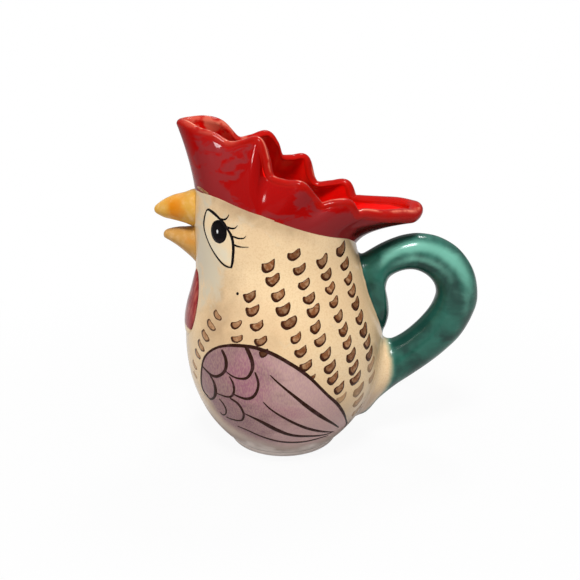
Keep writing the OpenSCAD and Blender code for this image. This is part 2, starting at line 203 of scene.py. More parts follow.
WING_PLUMES = [
    [(86.5, 67, 0.37), (90.6, 62.7, 0.68), (95.1, 58.2, 0.87), (100.1, 53.2, 1.11),
     (106.2, 46.8, 1.42), (113.7, 39.5, 1.49), (121.2, 32.8, 1.11), (134.2, 22.4, 0.54)],
    [(82.5, 49.7, 0.42), (85.8, 45.7, 0.64), (90.4, 41.7, 0.8), (95.1, 38.2, 0.95),
     (100.8, 34.1, 1.11), (107.8, 29.7, 1.21), (115.7, 25.7, 1.1), (123.1, 22.6, 0.84),
     (131.1, 19.6, 0.53)],
    [(70.9, 39.5, 0.55), (75.9, 37.4, 0.98), (80.7, 34.9, 1.49), (85, 32.1, 1.81),
     (90, 28.9, 1.72), (96.7, 25.4, 1.41), (103.8, 23.3, 1.31), (111.4, 21.9, 1.09),
     (119.9, 20.2, 0.89), (129.4, 19.3, 0.61)],
    [(62.7, 27.3, 0.57), (69.3, 25.9, 0.78), (76.8, 22.9, 0.88), (83.8, 20.5, 0.99),
     (91, 18.5, 1.01), (100.9, 17.3, 1.04), (110.4, 16.9, 1), (120.3, 17.4, 0.81),
     (127.7, 17.4, 0.56)]]
# Lower edge of the wing wash: angle and height in mm
WASH_LOW = [(41.9, 41.2), (45.2, 33.3), (49.8, 25.2), (60.2, 21.6), (71.3, 17.4), (82.7, 14.3),
            (94.9, 12.8), (107.5, 12.7), (120.7, 13.3), (133.4, 16.6), (145.8, 17.6)]

# Lower edge in mm of the yellow that runs from the beaks on to the face, and its side edge
# in degrees
FACE_LOW, FACE_SIDE = 113, 16
# Angle behind which the wing wash gets paler, and over how many degrees
WING_TONE = (66, 42)
# Distances in mm over which the wash starts at its upper line and fades out below, and over
# which the yellow of the face starts
WASH_START, WASH_FADE, FACE_START = (-0.2, 0.2), (-4, 6), (0, 3)
# Heights in metres over which glaze takes the place of pale clay near the foot, which also stands
# for painted light from the floor, and of the bisque colour lower down, and over which it starts on
# the foot itself
PALE_CLAY_AND_FLOOR_LIGHT_END, BISQUE_END, BARE_END = (0.012, 0.021), (0.016, 0.06), (0.0001, 0.0004)
# Distance from an edge of the wash that counts as well in it, and the value for no paint at all
WELL_IN, NO_PAINT = 5, -9

# Soft patches of colour, painted light and shade among them as said at each: angle, height, their
# spread in degrees and mm, and how much
# Duller mauve on the comb wall: partly the glaze's own unevenness, partly painted sheen and shade
RED_SHEEN_AND_SHADE = [(27, 170, 14, 16, 0.3), (46, 164, 12, 10, 0.25), (79, 165, 17, 12, -0.5),
            (106, 160, 7, 8, 0.3), (122, 151, 8, 5, 0.25), (137, 144, 14, 8, 0.4),
            (162, 143, 16, 5, 0.4)]
# Painted shade in deep red under the comb's tail
TAIL_UNDERSIDE_SHADE = [(166, 138, 13, 6, 1), (183, 134, 14, 5, 1)]
# Painted reflection in pale red inside the front of the comb
PAINTED_GLEAM = [(14, 192, 14, 7, 0.9), (30, 184, 7, 9, 0.6)]
# Painted shade on the cream body: its left front, lower belly, tail side and bottom
SHADE = [(50, 94, 15, 34, 0.5), (76, 86, 20, 18, 0.25), (158, 62, 11, 22, 0.5),
         (56, 40, 22, 12, 0.55)]
# Greyish cream on the face and chest: partly the glaze's own cloudiness, partly painted sheen and
# shade at the front edge
PALE = [(12, 66, 13, 34, 0.45), (30, 128, 14, 30, 0.9), (44, 112, 10, 14, 0.5),
        (60, 146, 14, 5, 0.4)]
WING_HEART = [(74, 62, 14, 16, 1), (95, 42, 16, 7, 0.6)]
# How much duller mauve red the comb has all over, how much more next to the seam as painted shade
# in the crease, and over how many mm
MAUVE_BASE, SEAM_SHADE, SEAM_REACH = 0.4, 0.3, 5
# Red of the lip: how far down the wall it reaches, then its pale crest, partly glaze worn thin and
# partly a painted highlight: place across, width and how much
LIP_REACH = 0.05
LIP_CREST = (0.47, 0.05, 0.85)
# Shade under the comb: middle angle, spread in degrees, depth in mm and how much
COMB_SHADE = (76, 42, 8, 0.6)
# Second coat of a beak, as a stain: share of its reach, mm above its middle, their spread
UPPER_COAT = (0.42, 1, 0.28, 7.5, 1)
LOWER_COAT = (0.15, 4, 0.25, 4, 0.5)
# How level the top of the lower beak is where it starts to turn brown and where it is full brown,
# and how brown
MOUTH_LEVEL, MOUTH_BROWN = (0.8, 1), 0.5

# Heights in metres over which the red of a wattle starts and ends
WATTLE_START, WATTLE_END = (0.0795, 0.0812), (0.1125, 0.1138)
# Where the teal glaze ends at the lower root, in mm: place, height of its tip and bend
TEAL_EDGE = (61.7, 50, 7.8)
# Distances in mm from the ends of the teal glaze: where it starts at the top and at the lower
# root, over what it gets thin there, and a distance that no longer matters
TEAL_TOP, TEAL_LOW, TEAL_THIN, FAR_OFF = (-2.2, -0.6), (1.6, 6.4), (4, 8), 40
# Painted highlight in light teal on the crest: middle and spread across the handle, first and last
# section
TEAL_CREST = (0.52, 0.33, 3.6, 11)
# Painted reflection in light teal inside the bend, as a stain: place across and section, their
# spread, and how much
TEAL_BEND = (-0.15, 7.5, 0.22, 2.2, 0.7)
# Where the painted shade of the dark underside starts, across the handle
UNDERSIDE = 0.35
# Depth of the unevenness of the glazes, in metres
BUMP_DEPTH = 0.0005
# Points nearer than this, in metres, are one point
SAME_PLACE = 1e-6

# Place that the soft lights point at, then the place and width of each, in metres
LAMP_TARGET = (0, 0, 0.09)
LAMPS = {"key": ((0, -0.6, 1.15), 0.3), "back": ((0.2, 0.5, 1.1), 0.25),
         "fill": ((-0.7, -1, 0.6), 1.2)}
# Room light: how far up the room it is faintest and strongest, and how strong it is there
ROOM_RISE = (-0.1, 0.9, 0.3, 1.6)
# Floor: distances from the jug in metres between which it gets white, and how white it is there
FLOOR_FADE = (0.1, 0.34, 0.93, 1)

# Eye lines: the heavy lid, the thin rim, the lashes
EYE_LID = [
    (33.4, 150.5, 0.38), (34.6, 151.1, 0.72), (36.3, 151.2, 0.97), (40, 150.3, 1.21),
    (43.7, 148.9, 1.08), (46.9, 147.3, 0.94), (50, 145.7, 0.86), (52.2, 143.4, 0.85),
    (54.5, 141.1, 1.05), (56.3, 138.6, 1.12), (57.3, 135.6, 1.15), (57.7, 132, 1.14),
    (57.6, 128.4, 1.14), (57.4, 125.1, 1.06), (56.8, 122.1, 0.83)]
EYE_RIM = [
    (33.6, 150.7, 0.42), (31.9, 148.1, 0.58), (30.9, 144.9, 0.78), (30.5, 142.3, 0.85),
    (31.6, 138.7, 0.63), (34.2, 135.1, 0.51), (37.4, 131.6, 0.52), (41.4, 128.2, 0.57),
    (45.7, 125.2, 0.62), (49.8, 122.9, 0.64), (53.7, 121.9, 0.54), (56.7, 121.9, 0.33)]
LASHES = [
    [(46.4, 147.7, 0.48), (48.8, 147.6, 0.5), (51, 148.1, 0.46), (52.5, 149.2, 0.34),
     (53.7, 150.8, 0.15)],
    [(51.9, 144, 0.53), (54.3, 143.6, 0.52), (56.8, 143.6, 0.43), (58.8, 144.1, 0.32),
     (60.4, 145.5, 0.14)],
    [(55.9, 139.3, 0.41), (58.5, 139, 0.45), (61.5, 138.6, 0.4), (64.4, 138.8, 0.36),
     (65.8, 139.3, 0.25), (66.8, 140.3, 0.14)],
    [(57.7, 134.8, 0.49), (60.7, 134.2, 0.45), (64.1, 134, 0.29), (68.9, 134.4, 0.14)]]
# Eye lines with how much heavier than its table each one is drawn
EYE_LINES = [(EYE_LID, 1.1), (EYE_RIM, 1.35), *((lash, 1.6) for lash in LASHES)]
# How far a brush line's edge, a patch's edge and a patch's middle reach into the glaze, in mm
LINE_SINK, PATCH_SINK, MIDDLE_SINK = 0.05, 0.06, 0.3
# Brush line: the steps of each stretch, its least width in mm, half its section as shares of half
# the width and of the rise, and the reach and width of its round end as shares of half the width
LINE_STEPS, LINE_LEAST = 5, 0.1
LINE_SECTION = ((0.85, 0.8), (0.4, 1))
LINE_END = (0.8, 0.55)
# How far the white of the eye stands out, and the glint over the lines, in mm
EYE_RISE, GLINT_RISE = 0.04, 0.03
# Round dabs: angle, height, half width and half height in mm
PUPIL = (45.5, 140.4, 5.8, 6.5)
GLINT = (44.6, 140.4, 0.914, 1.5)
CHEEK_DOT = (63.4, 108.6, 0.85, 0.8)
# Dab on the seam, written as a brush line
SEAM_DAB = [(18.9, 160.9, 0.79), (25.4, 161, 1.27), (30.3, 160.4, 1.05), (34.4, 160, 0.51)]


def length(name, text, default):
    """A length that the user can change."""
    return bpy.props.FloatProperty(name=name, description=text, default=default, min=0,
                                   precision=4, unit="LENGTH", subtype="DISTANCE")


def amount(name, text, default, unit="NONE", low=0.0):
    """A plain number that the user can change."""
    return bpy.props.FloatProperty(name=name, description=text, default=default, min=low,
                                   unit=unit)


def spot(name, text, default):
    """A place that the user can change."""
    return bpy.props.FloatVectorProperty(name=name, description=text, default=default, size=3,
                                         precision=4, unit="LENGTH", subtype="TRANSLATION")


def colour(name, text, default):
    """A colour as it looks on screen, given as 0 to 255."""
    return bpy.props.FloatVectorProperty(name=name, description=text, size=3, min=0, max=1,
                                         subtype="COLOR_GAMMA", default=[v / 255 for v in default])


class PitcherSizes(bpy.types.PropertyGroup):
    """Sizes of the clay"""
    belly: length("Belly radius", "Radius of the jug at its widest place", 0.060)
    outline: length("Outline height", "Height that the body outline is given over", 0.160)
    wall: length("Wall", "Thickness of the body wall", 0.005)
    floor: length("Floor", "Thickness of the floor over the foot", 0.006)
    foot: length("Foot height", "Height of the foot disc", 0.003)
    seam_front: length("Front seam", "Height of the comb seam at the front", 0.1565)
    seam_rear: length("Rear seam", "Height of the comb seam at the rear", 0.125)
    comb_top: length("Comb top", "Height of the comb at its peak", 0.1965)
    comb_rear: length("Comb rear", "Height of the comb at its rear lip", 0.1468)
    comb_front: length("Comb front", "Reach of the comb to the front", 0.0572)
    comb_back: length("Comb back", "Reach of the comb to the rear", 0.0762)
    comb_half: length("Comb half width", "Half the width of the comb", 0.0335)
    lip: length("Lip radius", "Radius of the rounded lip", 0.0028)
    rear_lip: length("Rear lip radius", "Radius of the lip at the rear", 0.0044)
    handle_width: length("Handle width", "Width of the handle across the bird", 0.024)
    top_flare: length("Upper flare", "How far the upper root spreads on the body", 0.0035)
    low_flare: length("Lower flare", "How far the lower root spreads on the body", 0.006)
    wattle_middle: length("Wattle place", "Height of the middle of the wattles", 0.093)
    wattle_height: length("Wattle height", "Height of each wattle", 0.040)
    wattle_width: length("Wattle width", "Width of each wattle", 0.028)
    wattle_rise: length("Wattle rise", "How far a wattle stands out", 0.0018)
    line_width: amount("Brush line width", "How heavy the brush lines are", 1.5, low=0.2)
    line_rise: length("Brush line rise", "How far the enamel lines stand out", 0.00012)


class PitcherGlazes(bpy.types.PropertyGroup):
    """Colours of the glazes and the paint"""
    cream: colour("Cream", "Main glaze of the body", (235, 206, 163))
    warm: colour("Warm cream", "Where the cream glaze lies thicker", (216, 178, 134))
    red: colour("Red", "Comb glaze", (150, 3, 2))
    # Thin red is a duller mauve: partly the glaze's own unevenness, partly painted sheen and shade
    mauve: colour("Thin red", "Comb glaze where it lies thin", (134, 34, 36))
    lip: colour("Lip red", "Comb glaze on the rounded lip", (168, 18, 8))
    teal: colour("Teal", "Handle glaze", (42, 100, 86))
    # Light teal: thin glaze at the lower root's edge, and also the painted highlight and reflection
    light_teal: colour("Light teal", "Handle glaze where it lies thin", (112, 178, 158))
    # Dark teal: where the brush overlapped, and also the painted shade on the underside
    dark_teal: colour("Dark teal", "Handle glaze where the brush overlapped", (24, 62, 54))
    yellow: colour("Beak yellow", "Beak glaze", (208, 156, 66))
    orange: colour("Beak orange", "Second coat on the beak", (206, 122, 8))
    # Ochre is the beak yellow in painted shade, under the upper beak
    ochre: colour("Ochre", "Glaze of the lower beak", (190, 140, 70))
    brown: colour("Brown line", "Thin brown line inside the lower beak", (132, 86, 38))
    wattle: colour("Wattle red", "Wattle glaze", (140, 40, 44))
    wing: colour("Wing", "Mauve wash of the wings", (184, 145, 146))
    wing_deep: colour("Deep wing", "Where the wing wash is stronger", (132, 91, 102))
    feather: colour("Feather brown", "Inside of the feather marks", (134, 80, 46))
    feather_edge: colour("Feather edge", "Outline of the feather marks", (64, 30, 12))
    ink: colour("Ink", "Lines and pupils of the eyes", (10, 6, 6))
    line: colour("Wing line", "Lines of the wings", (46, 21, 10))
    eye: colour("Eye white", "Pale ground of the eyes", (222, 208, 180))
    # Shade is painted shade in a warm brown, where the cream body lies in shade and under the comb
    shade: colour("Shade", "Warm brown where the cream glaze lies thin", (166, 134, 102))
    # Pale is greyish cream: partly the glaze's own cloudiness, partly painted sheen and shade at
    # the front edge
    pale: colour("Pale", "Greyish cream of the face", (206, 192, 166))
    # Worn red is partly glaze worn thin on the lip's crest, partly painted highlight and reflection
    thin_lip: colour("Worn red", "Crest of the lip, where the clay shows through", (236, 144, 116))
    # Deep red is painted shade: under the comb's tail and towards the edge of each wattle
    deep: colour("Deep red", "Underside of the comb's tail", (70, 8, 6))
    # Inner red is painted light: a brighter red where the inside of the comb lies in shade
    inner: colour("Inner red", "Thick red glaze inside the comb", (236, 10, 5))
    purple: colour("Purple", "Strongest wash in the middle of the wing", (151, 86, 113))
    bisque: colour("Bare clay", "Unglazed underside", (172, 152, 144))
    # Chalk is pale clay near the foot, also painted light from the floor
    chalk: colour("Chalk", "Lightest clay near the foot", (248, 234, 226))
    glint: colour("Glint", "Light caught in the eye", (243, 243, 241))


class PitcherStage(bpy.types.PropertyGroup):
    """Camera and light"""
    eye: spot("Camera place", "Where the camera stands", (0.02859, -0.46920, 0.26601))
    target: spot("Camera target", "What the camera looks at", (0.004, 0.0, 0.095))
    lens: amount("Lens", "Focal length", 51.7, "CAMERA", 1)
    key: amount("Key light", "Power of the overhead soft light", 12.0, "POWER")
    back: amount("Back light", "Power of the light behind", 4.0, "POWER")
    fill: amount("Fill light", "Power of the soft side light", 1.5, "POWER")
    sky: amount("Room light", "Strength of the even room light", 0.4)


def sizes():
    return bpy.context.scene.pitcher_sizes


def glaze(name):
    """A glaze colour as linear light with full alpha."""
    value = np.array(getattr(bpy.context.scene.pitcher_glazes, name)[:])
    low = value / 12.92
    high = ((value + 0.055) / 1.055) ** 2.4
    return [*np.where(value <= 0.04045, low, high), 1.0]


# Shape of the clay

def round_angles(count):
    return np.linspace(0, 2 * np.pi, count, endpoint=False)


def blend(a, b, c, d, t):
    """Smooth curve through four values, from the second to the third."""
    return 0.5 * (2 * b + (c - a) * t + (2 * a - 5 * b + 4 * c - d) * t * t
                  + (3 * b - a - 3 * c + d) * t * t * t)


def along(values, s):
    """Value of an even list at place s, counted in steps."""
    values = np.asarray(values, float)
    s = np.asarray(s, float)
    last = len(values) - 1
    i = np.clip(np.floor(s).astype(int), 0, last - 1)
    t = s - i
    if values.ndim > 1:
        t = t[..., None]
    a, b, c, d = (values[np.clip(i + k, 0, last)] for k in (-1, 0, 1, 2))
    return blend(a, b, c, d, t)


def radius(a, z):
    """Outer radius of the body at angle a in radians and height z."""
    s = np.asarray(z, float) / sizes().outline * (len(FRONT) - 1)
    c = np.cos(a)
    ends = np.where(c > 0, along(FRONT, s), along(REAR, s))
    return sizes().belly * (c * c * ends + (1 - c * c) * along(SIDE, s))


def on_body(a, z, out=0.0):
    """A point of the body surface, or out metres outside it."""
    a, z, out = np.broadcast_arrays(a, z, out)
    r = radius(a, z) + out
    return np.stack([-r * np.cos(a), r * np.sin(a), z], -1)


def place(p):
    """Angle in radians and height of points."""
    return np.arctan2(p[..., 1], -p[..., 0]), p[..., 2]


def depth(p):
    """How far points lie outside the body surface."""
    a, z = place(p)
    return np.hypot(p[..., 0], p[..., 1]) - radius(a, z)


def seam_height(a):
    turn = np.abs((np.degrees(a) + 180) % 360 - 180)
    s = sizes()
    return s.seam_rear + (s.seam_front - s.seam_rear) * along(SEAM, turn / 180 * (len(SEAM) - 1))


def unit(v):
    return v / np.linalg.norm(v, axis=-1, keepdims=True)


def rim_curve(steps):
    """Angles, centres, radii and directions of the comb's rounded lip, once round."""
    far = np.stack([RIM_ANGLE, FAR_ALONG, RIM_WIDTH, FAR_RISE], 1)
    near = np.stack([360 - np.array(RIM_ANGLE), NEAR_ALONG, -np.array(RIM_WIDTH), NEAR_RISE], 1)
    ring = np.concatenate([far, near[-2:0:-1]])
    count = len(ring)
    before, after = ring[-1:].copy(), ring[:2].copy()
    before[:, 0] -= 360
    after[:, 0] += 360
    ring = np.concatenate([before, ring, after])
    rows = np.concatenate([
        [blend(*ring[j:j + 4], k / steps) for k in range(steps)] for j in range(count)])
    s = sizes()
    a = np.radians(rows[:, 0])
    lip = s.lip + (s.rear_lip - s.lip) * np.maximum(0, -np.cos(a)) ** 4
    centre = np.stack([
        rows[:, 1] * (s.comb_front + s.comb_back) - s.comb_front, rows[:, 2] * s.comb_half,
        s.comb_rear + rows[:, 3] * (s.comb_top - s.comb_rear) - lip], 1)
    ahead = unit(np.roll(centre, -1, 0) - np.roll(centre, 1, 0))
    out = unit(np.stack([-ahead[:, 1], ahead[:, 0], 0 * ahead[:, 0]], 1))
    return a, centre, lip, out, np.cross(ahead, out)


def lip_ring(rim, q):
    """The lip at share q, 0 at its outer edge and 1 at its inner one."""
    a, centre, lip, out, up = rim
    start = -LIP_ROLL * np.maximum(0, -np.cos(a)) ** 2
    f = np.radians(start + (180 - start) * q)
    return centre + lip[:, None] * (np.cos(f)[:, None] * out + np.sin(f)[:, None] * up)


def comb_wall_ring(rim, q, inward, edge):
    """The comb wall at share q, 0 on the seam and 1 at the lip."""
    a = rim[0]
    c = np.cos(a)
    front, rear = np.maximum(0, c) ** 2, np.maximum(0, -c) ** 2
    shares = np.stack([1 - front - rear, rear, front])
    low = on_body(a, seam_height(a), -inward)
    high = lip_ring(rim, edge)
    lean, lift = COMB_LEAN @ shares, COMB_LIFT @ shares
    mid = low + np.stack([lean, 0.6 * lean, lift], 1) * (high - low)
    return (1 - q) ** 2 * low + 2 * q * (1 - q) * mid + q * q * high


# Making meshes

def round_off(merge):
    """Turns every face of the piece in hand outwards and smooths it."""
    bpy.ops.object.mode_set(mode="EDIT")
    bpy.ops.mesh.select_all(action="SELECT")
    if merge:
        bpy.ops.mesh.remove_doubles(threshold=SAME_PLACE)
    bpy.ops.mesh.normals_make_consistent(inside=False)
    bpy.ops.object.mode_set(mode="OBJECT")
    bpy.ops.object.shade_smooth()


def raise_rings(name, rings, **values):
    """Pulls a circle up ring by ring, sets each ring in its place, and merges those that meet.

    Each value is given for every point of every ring and is kept for the material to read.
    """
    rings = np.asarray(rings, float)
    rows, cols = rings.shape[:2]
    bpy.ops.object.select_all(action="DESELECT")
    bpy.ops.mesh.primitive_circle_add(vertices=cols, radius=0.05)
    piece = bpy.context.object
    mesh = piece.data
    piece.name = mesh.name = name
    mesh.attributes.new("column", "INT", "POINT").data.foreach_set("value", range(cols))
    bpy.ops.object.mode_set(mode="EDIT")
    bpy.ops.mesh.select_all(action="SELECT")
    for _ in range(rows - 1):
        bpy.ops.mesh.extrude_region_move()
    bpy.ops.object.mode_set(mode="OBJECT")
    column = np.empty(rows * cols, np.int32)
    mesh.attributes["column"].data.foreach_get("value", column)
    if not (np.sort(column.reshape(rows, cols), axis=1) == np.arange(cols)).all():
        raise RuntimeError("the rings of %s are out of order" % name)
    row = np.repeat(np.arange(rows), cols)
    mesh.vertices.foreach_set("co", rings[row, column].ravel())
    mesh.attributes.remove(mesh.attributes["column"])
    paint_values(piece, **{key: np.broadcast_to(grid, (rows, cols))[row, column]
                           for key, grid in values.items()})
    mesh.update()
    round_off(merge=True)
    return piece


def read_points(piece, what="co"):
    """Places or normals of a piece's points."""
    flat = np.empty(len(piece.data.vertices) * 3)
    piece.data.vertices.foreach_get(what, flat)
    return flat.reshape(-1, 3)


def paint_values(piece, **layers):
    """Keeps numbers for each vertex, for the material to read."""
    for name, values in layers.items():
        layer = piece.data.attributes.new(name, "FLOAT", "POINT")
        layer.data.foreach_set("value", np.asarray(values, np.float32))


def paint_places(piece):
    """Angle from the front in degrees and height in mm of each point, then the turn in radians
    and the height in metres."""
    turn, z = place(read_points(piece))
    return np.abs(np.degrees(turn)), z / MM, turn, z


def stains(x, y, spots):
    """How strong soft round stains are at angles x and heights y in mm."""
    return sum(share * np.exp(-((x - u) / wide) ** 2 - ((y - h) / high) ** 2)
               for u, h, wide, high, share in spots)


def edge_distance(line, x, y):
    """Distance in mm from points to a line of points, with x in degrees taken as mm."""
    line = np.asarray(line, float)[:, :2]
    best = np.full(x.shape, 1e9)
    for (ax, ay), (bx, by) in zip(line[:-1], line[1:]):
        dx, dy = bx - ax, by - ay
        t = np.clip(((x - ax) * dx + (y - ay) * dy) / (dx * dx + dy * dy), 0, 1)
        best = np.minimum(best, np.hypot(x - ax - t * dx, y - ay - t * dy))
    return best


def inside(line, x, y):
    """True for points inside a closed line."""
    line = np.asarray(line, float)[:, :2]
    hit = np.zeros(x.shape, bool)
    for (ax, ay), (bx, by) in zip(line, np.roll(line, -1, 0)):
        cross = (ay > y) != (by > y)
        hit ^= cross & (x < (bx - ax) * (y - ay) / (by - ay + 1e-12) + ax)
    return hit


class Sheet:
    """Gathers thin closed shapes that lie on the body into one mesh."""

    def __init__(self, side_name):
        self.side_name = side_name
        self.side = SIDES[side_name]
        self.points, self.faces, self.layers = [], [], {}

    def add(self, rings, **values):
        """Rings of places (degrees, height in mm, rise in mm), the first and last a point."""
        starts = []
        for ring in rings:
            starts.append(len(self.points))
            p = on_body(np.radians(ring[:, 0]) * self.side, ring[:, 1] * MM, ring[:, 2] * MM)
            self.points.extend(p.tolist())
        for k, (a, b) in enumerate(zip(starts, starts[1:])):
            n = max(len(rings[k]), len(rings[k + 1]))
            for c in range(n):
                d = (c + 1) % n
                if len(rings[k]) == 1:
                    face = (a, b + c, b + d)
                elif len(rings[k + 1]) == 1:
                    face = (a + c, b, a + d)
                else:
                    face = (a + c, b + c, b + d, a + d)
                self.faces.append(face)
        for key, rows in values.items():
            layer = self.layers.setdefault(key, [])
            rows = rows if isinstance(rows, list) else [rows] * len(rings)
            for ring, row in zip(rings, rows):
                row = np.atleast_1d(row)
                row = row if len(row) == len(ring) else row.mean(keepdims=True)
                layer.extend(np.broadcast_to(row, len(ring)).tolist())

    def line(self, places, rise, weight=1):
        """A brush line through places of angle, height and width."""
        places = np.asarray(places, float)
        last = (len(places) - 1) * LINE_STEPS
        path = along(places, np.linspace(0, len(places) - 1, last + 1))
        r = radius(np.radians(path[:, 0]), path[:, 1] * MM) / MM
        step = np.gradient(path[:, :2], axis=0)
        step[:, 0] *= np.radians(r)
        ahead = unit(step)
        across = np.stack([-ahead[:, 1], ahead[:, 0]], 1)
        half = np.maximum(weight * path[:, 2] * sizes().line_width, LINE_LEAST) / 2
        scale = np.stack([np.degrees(1 / r), np.ones(len(r))], 1)
        section = [(1, -LINE_SINK), *((o, h * rise) for o, h in LINE_SECTION)]
        section += [(-o, h) for o, h in section[::-1]]
        rings = []
        for k in range(-1, last + 2):
            i = min(max(k, 0), last)
            shift = half[i] * LINE_END[0] * (k - i)
            w = half[i] * (LINE_END[1] if k != i else 1)
            rings.append(np.array([
                [*path[i, :2] + scale[i] * (ahead[i] * shift + across[i] * o * w), h]
                for o, h in section]))
        first, final = (np.array([[*ring[:, :2].mean(0), -LINE_SINK]])
                        for ring in (rings[0], rings[-1]))
        self.add([first, *rings, final])

    def patch(self, outline, rise, rows, **values):
        """A filled shape with its edge under the glaze; values are given from edge to middle."""
        outline = np.asarray(outline, float)
        middle = outline.mean(0)
        shares = [1, *np.linspace(1, 0, rows + 1)]
        rings = [np.array([[*middle, -MIDDLE_SINK]])]
        for share, h in zip(shares, [-PATCH_SINK, 0.5 * rise] + [rise] * rows):
            ring = middle + (outline - middle) * share
            ring = np.column_stack([ring, np.full(len(ring), h)])
            rings.append(ring if share > 0 else ring[:1])
        for key, value in values.items():
            if callable(value):
                values[key] = [value(0, outline)] + [value(1 - s, outline) for s in shares]
        self.add(rings, **values)

    def oval(self, dab, rise, steps=40, **values):
        """A round dab at an angle and a height, with its half width and half height in mm."""
        u, z, wide, high = dab
        turn = round_angles(steps)
        r = float(radius(math.radians(u), z * MM)) / MM
        x = u + np.degrees(wide * np.cos(turn) / r)
        self.patch(np.column_stack([x, z + high * np.sin(turn)]), rise, 4, **values)

    def finish(self, name, material):
        name = "%s_%s" % (name, self.side_name)
        mesh = bpy.data.meshes.new(name)
        mesh.from_pydata(self.points, [], self.faces)
        piece = bpy.data.objects.new(name, mesh)
        bpy.context.collection.objects.link(piece)
        paint_values(piece, **self.layers)
        bpy.ops.object.select_all(action="DESELECT")
        bpy.context.view_layer.objects.active = piece
        piece.select_set(True)
        round_off(merge=False)
        dress(piece, material, "cream_glaze")


def round_outline(corners, steps):
    """A closed smooth outline through corners."""
    corners = np.asarray(corners, float)
    ring = np.concatenate([corners[-1:], corners, corners[:2]])
    return np.array([blend(*ring[j:j + 4], k / steps)
                     for j in range(len(corners)) for k in range(steps)])


def dress(piece, material, slot_name, *nodes):
    """Gives a piece its glaze in a material slot, puts it on the root body and hides the CAD nodes
    that it stands for. slot_name is not used.
    """
    piece.data.materials.clear()
    piece.data.materials.append(material)
    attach(piece, "root")
    if nodes:
        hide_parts(*nodes)


# Glazes

def wire(tree, value, socket):
    """Sets a socket to a number or a colour, or joins another node's output to it."""
    if isinstance(value, bpy.types.NodeSocket):
        tree.links.new(value, socket)
    else:
        socket.default_value = value


def new_node(tree, kind, output, inputs=None, **settings):
    """Adds a shader node, fills its inputs and gives one of its outputs."""
    node = tree.nodes.new("ShaderNode" + kind)
    for key, value in settings.items():
        setattr(node, key, value)
    for key, value in (inputs or {}).items():
        wire(tree, value, node.inputs[key])
    return node.outputs[output]


class Glaze:
    """A glossy ceramic material that is built up in coats."""

    def __init__(self, name, ior=1.42):
        self.material = bpy.data.materials.new(name)
        self.material.use_nodes = True
        self.tree = self.material.node_tree
        self.shader = self.tree.nodes["Principled BSDF"].inputs
        self.shader["IOR"].default_value = ior
        self.coords = self.node("TexCoord", "Object")

    def node(self, *given, **settings):
        """Adds a node to this material."""
        return new_node(self.tree, *given, **settings)

    def noise(self, size, detail=3.0, stretch=None, twist=0.0):
        """Soft random values with blots of about the given size in metres."""
        coords = self.coords
        if stretch:
            coords = self.node("Mapping", 0, {"Scale": stretch, "Vector": coords})
        return self.node("TexNoise", "Fac", {"Vector": coords, "Scale": 1 / size,
                                             "Detail": detail, "Distortion": twist})

    def value(self, name):
        """A number that each point of the piece keeps."""
        return self.node("Attribute", "Fac", attribute_name=name)

    def height(self):
        return self.node("SeparateXYZ", "Z", {0: self.coords})

    def plus(self, a, b):
        return self.node("Math", 0, {0: a, 1: b}, operation="ADD")

    def times(self, a, b):
        return self.node("Math", 0, {0: a, 1: b}, operation="MULTIPLY")

    def stir(self, value, noise, share):
        """Adds noise to a value, up to half of share to either side."""
        return self.plus(value, self.times(self.plus(noise, -0.5), share))

    def step(self, value, low, high, first=0.0, last=1.0):
        """Goes smoothly from first to last while value goes from low to high."""
        return self.node("MapRange", 0, dict(enumerate((value, low, high, first, last))),
                         interpolation_type="SMOOTHSTEP")

    def mix(self, share, a, b):
        """Lays b over a, each the name of a glaze or a node's colour."""
        a, b = (glaze(c) if isinstance(c, str) else c for c in (a, b))
        return self.node("Mix", 2, {0: share, 6: a, 7: b}, data_type="RGBA")

    def bump(self, noise, strength):
        """Makes the surface softly uneven."""
        inputs = {"Strength": strength, "Distance": BUMP_DEPTH, "Height": noise}
        wire(self.tree, self.node("Bump", 0, inputs), self.shader["Normal"])

    def done(self, base, roughness):
        """Sets the colour and the roughness, and gives the finished material."""
        wire(self.tree, base, self.shader["Base Color"])
        wire(self.tree, roughness, self.shader["Roughness"])
        return self.material


def cream_coat(g):
    """Cream glaze with soft warm clouds and a fine speckle, the bisque colour lower down, and pale
    clay near the foot that also stands for painted light from the floor.
    """
    base = g.mix(g.step(g.noise(0.045, 2, twist=0.3), 0.35, 0.7, 0.0, 0.45), "cream", "warm")
    base = g.mix(g.step(g.noise(0.0009, 2), 0.42, 0.72, 0.0, 0.5), base, "warm")
    low = g.plus(g.height(), g.times(g.noise(0.012), 0.016))
    base = g.mix(g.step(low, *BISQUE_END, 0.95, 0.0), base, "bisque")
    # Pale clay near the foot, also painted light from the floor
    return g.mix(g.step(low, *PALE_CLAY_AND_FLOOR_LIGHT_END, 0.95, 0.0), base, "chalk")


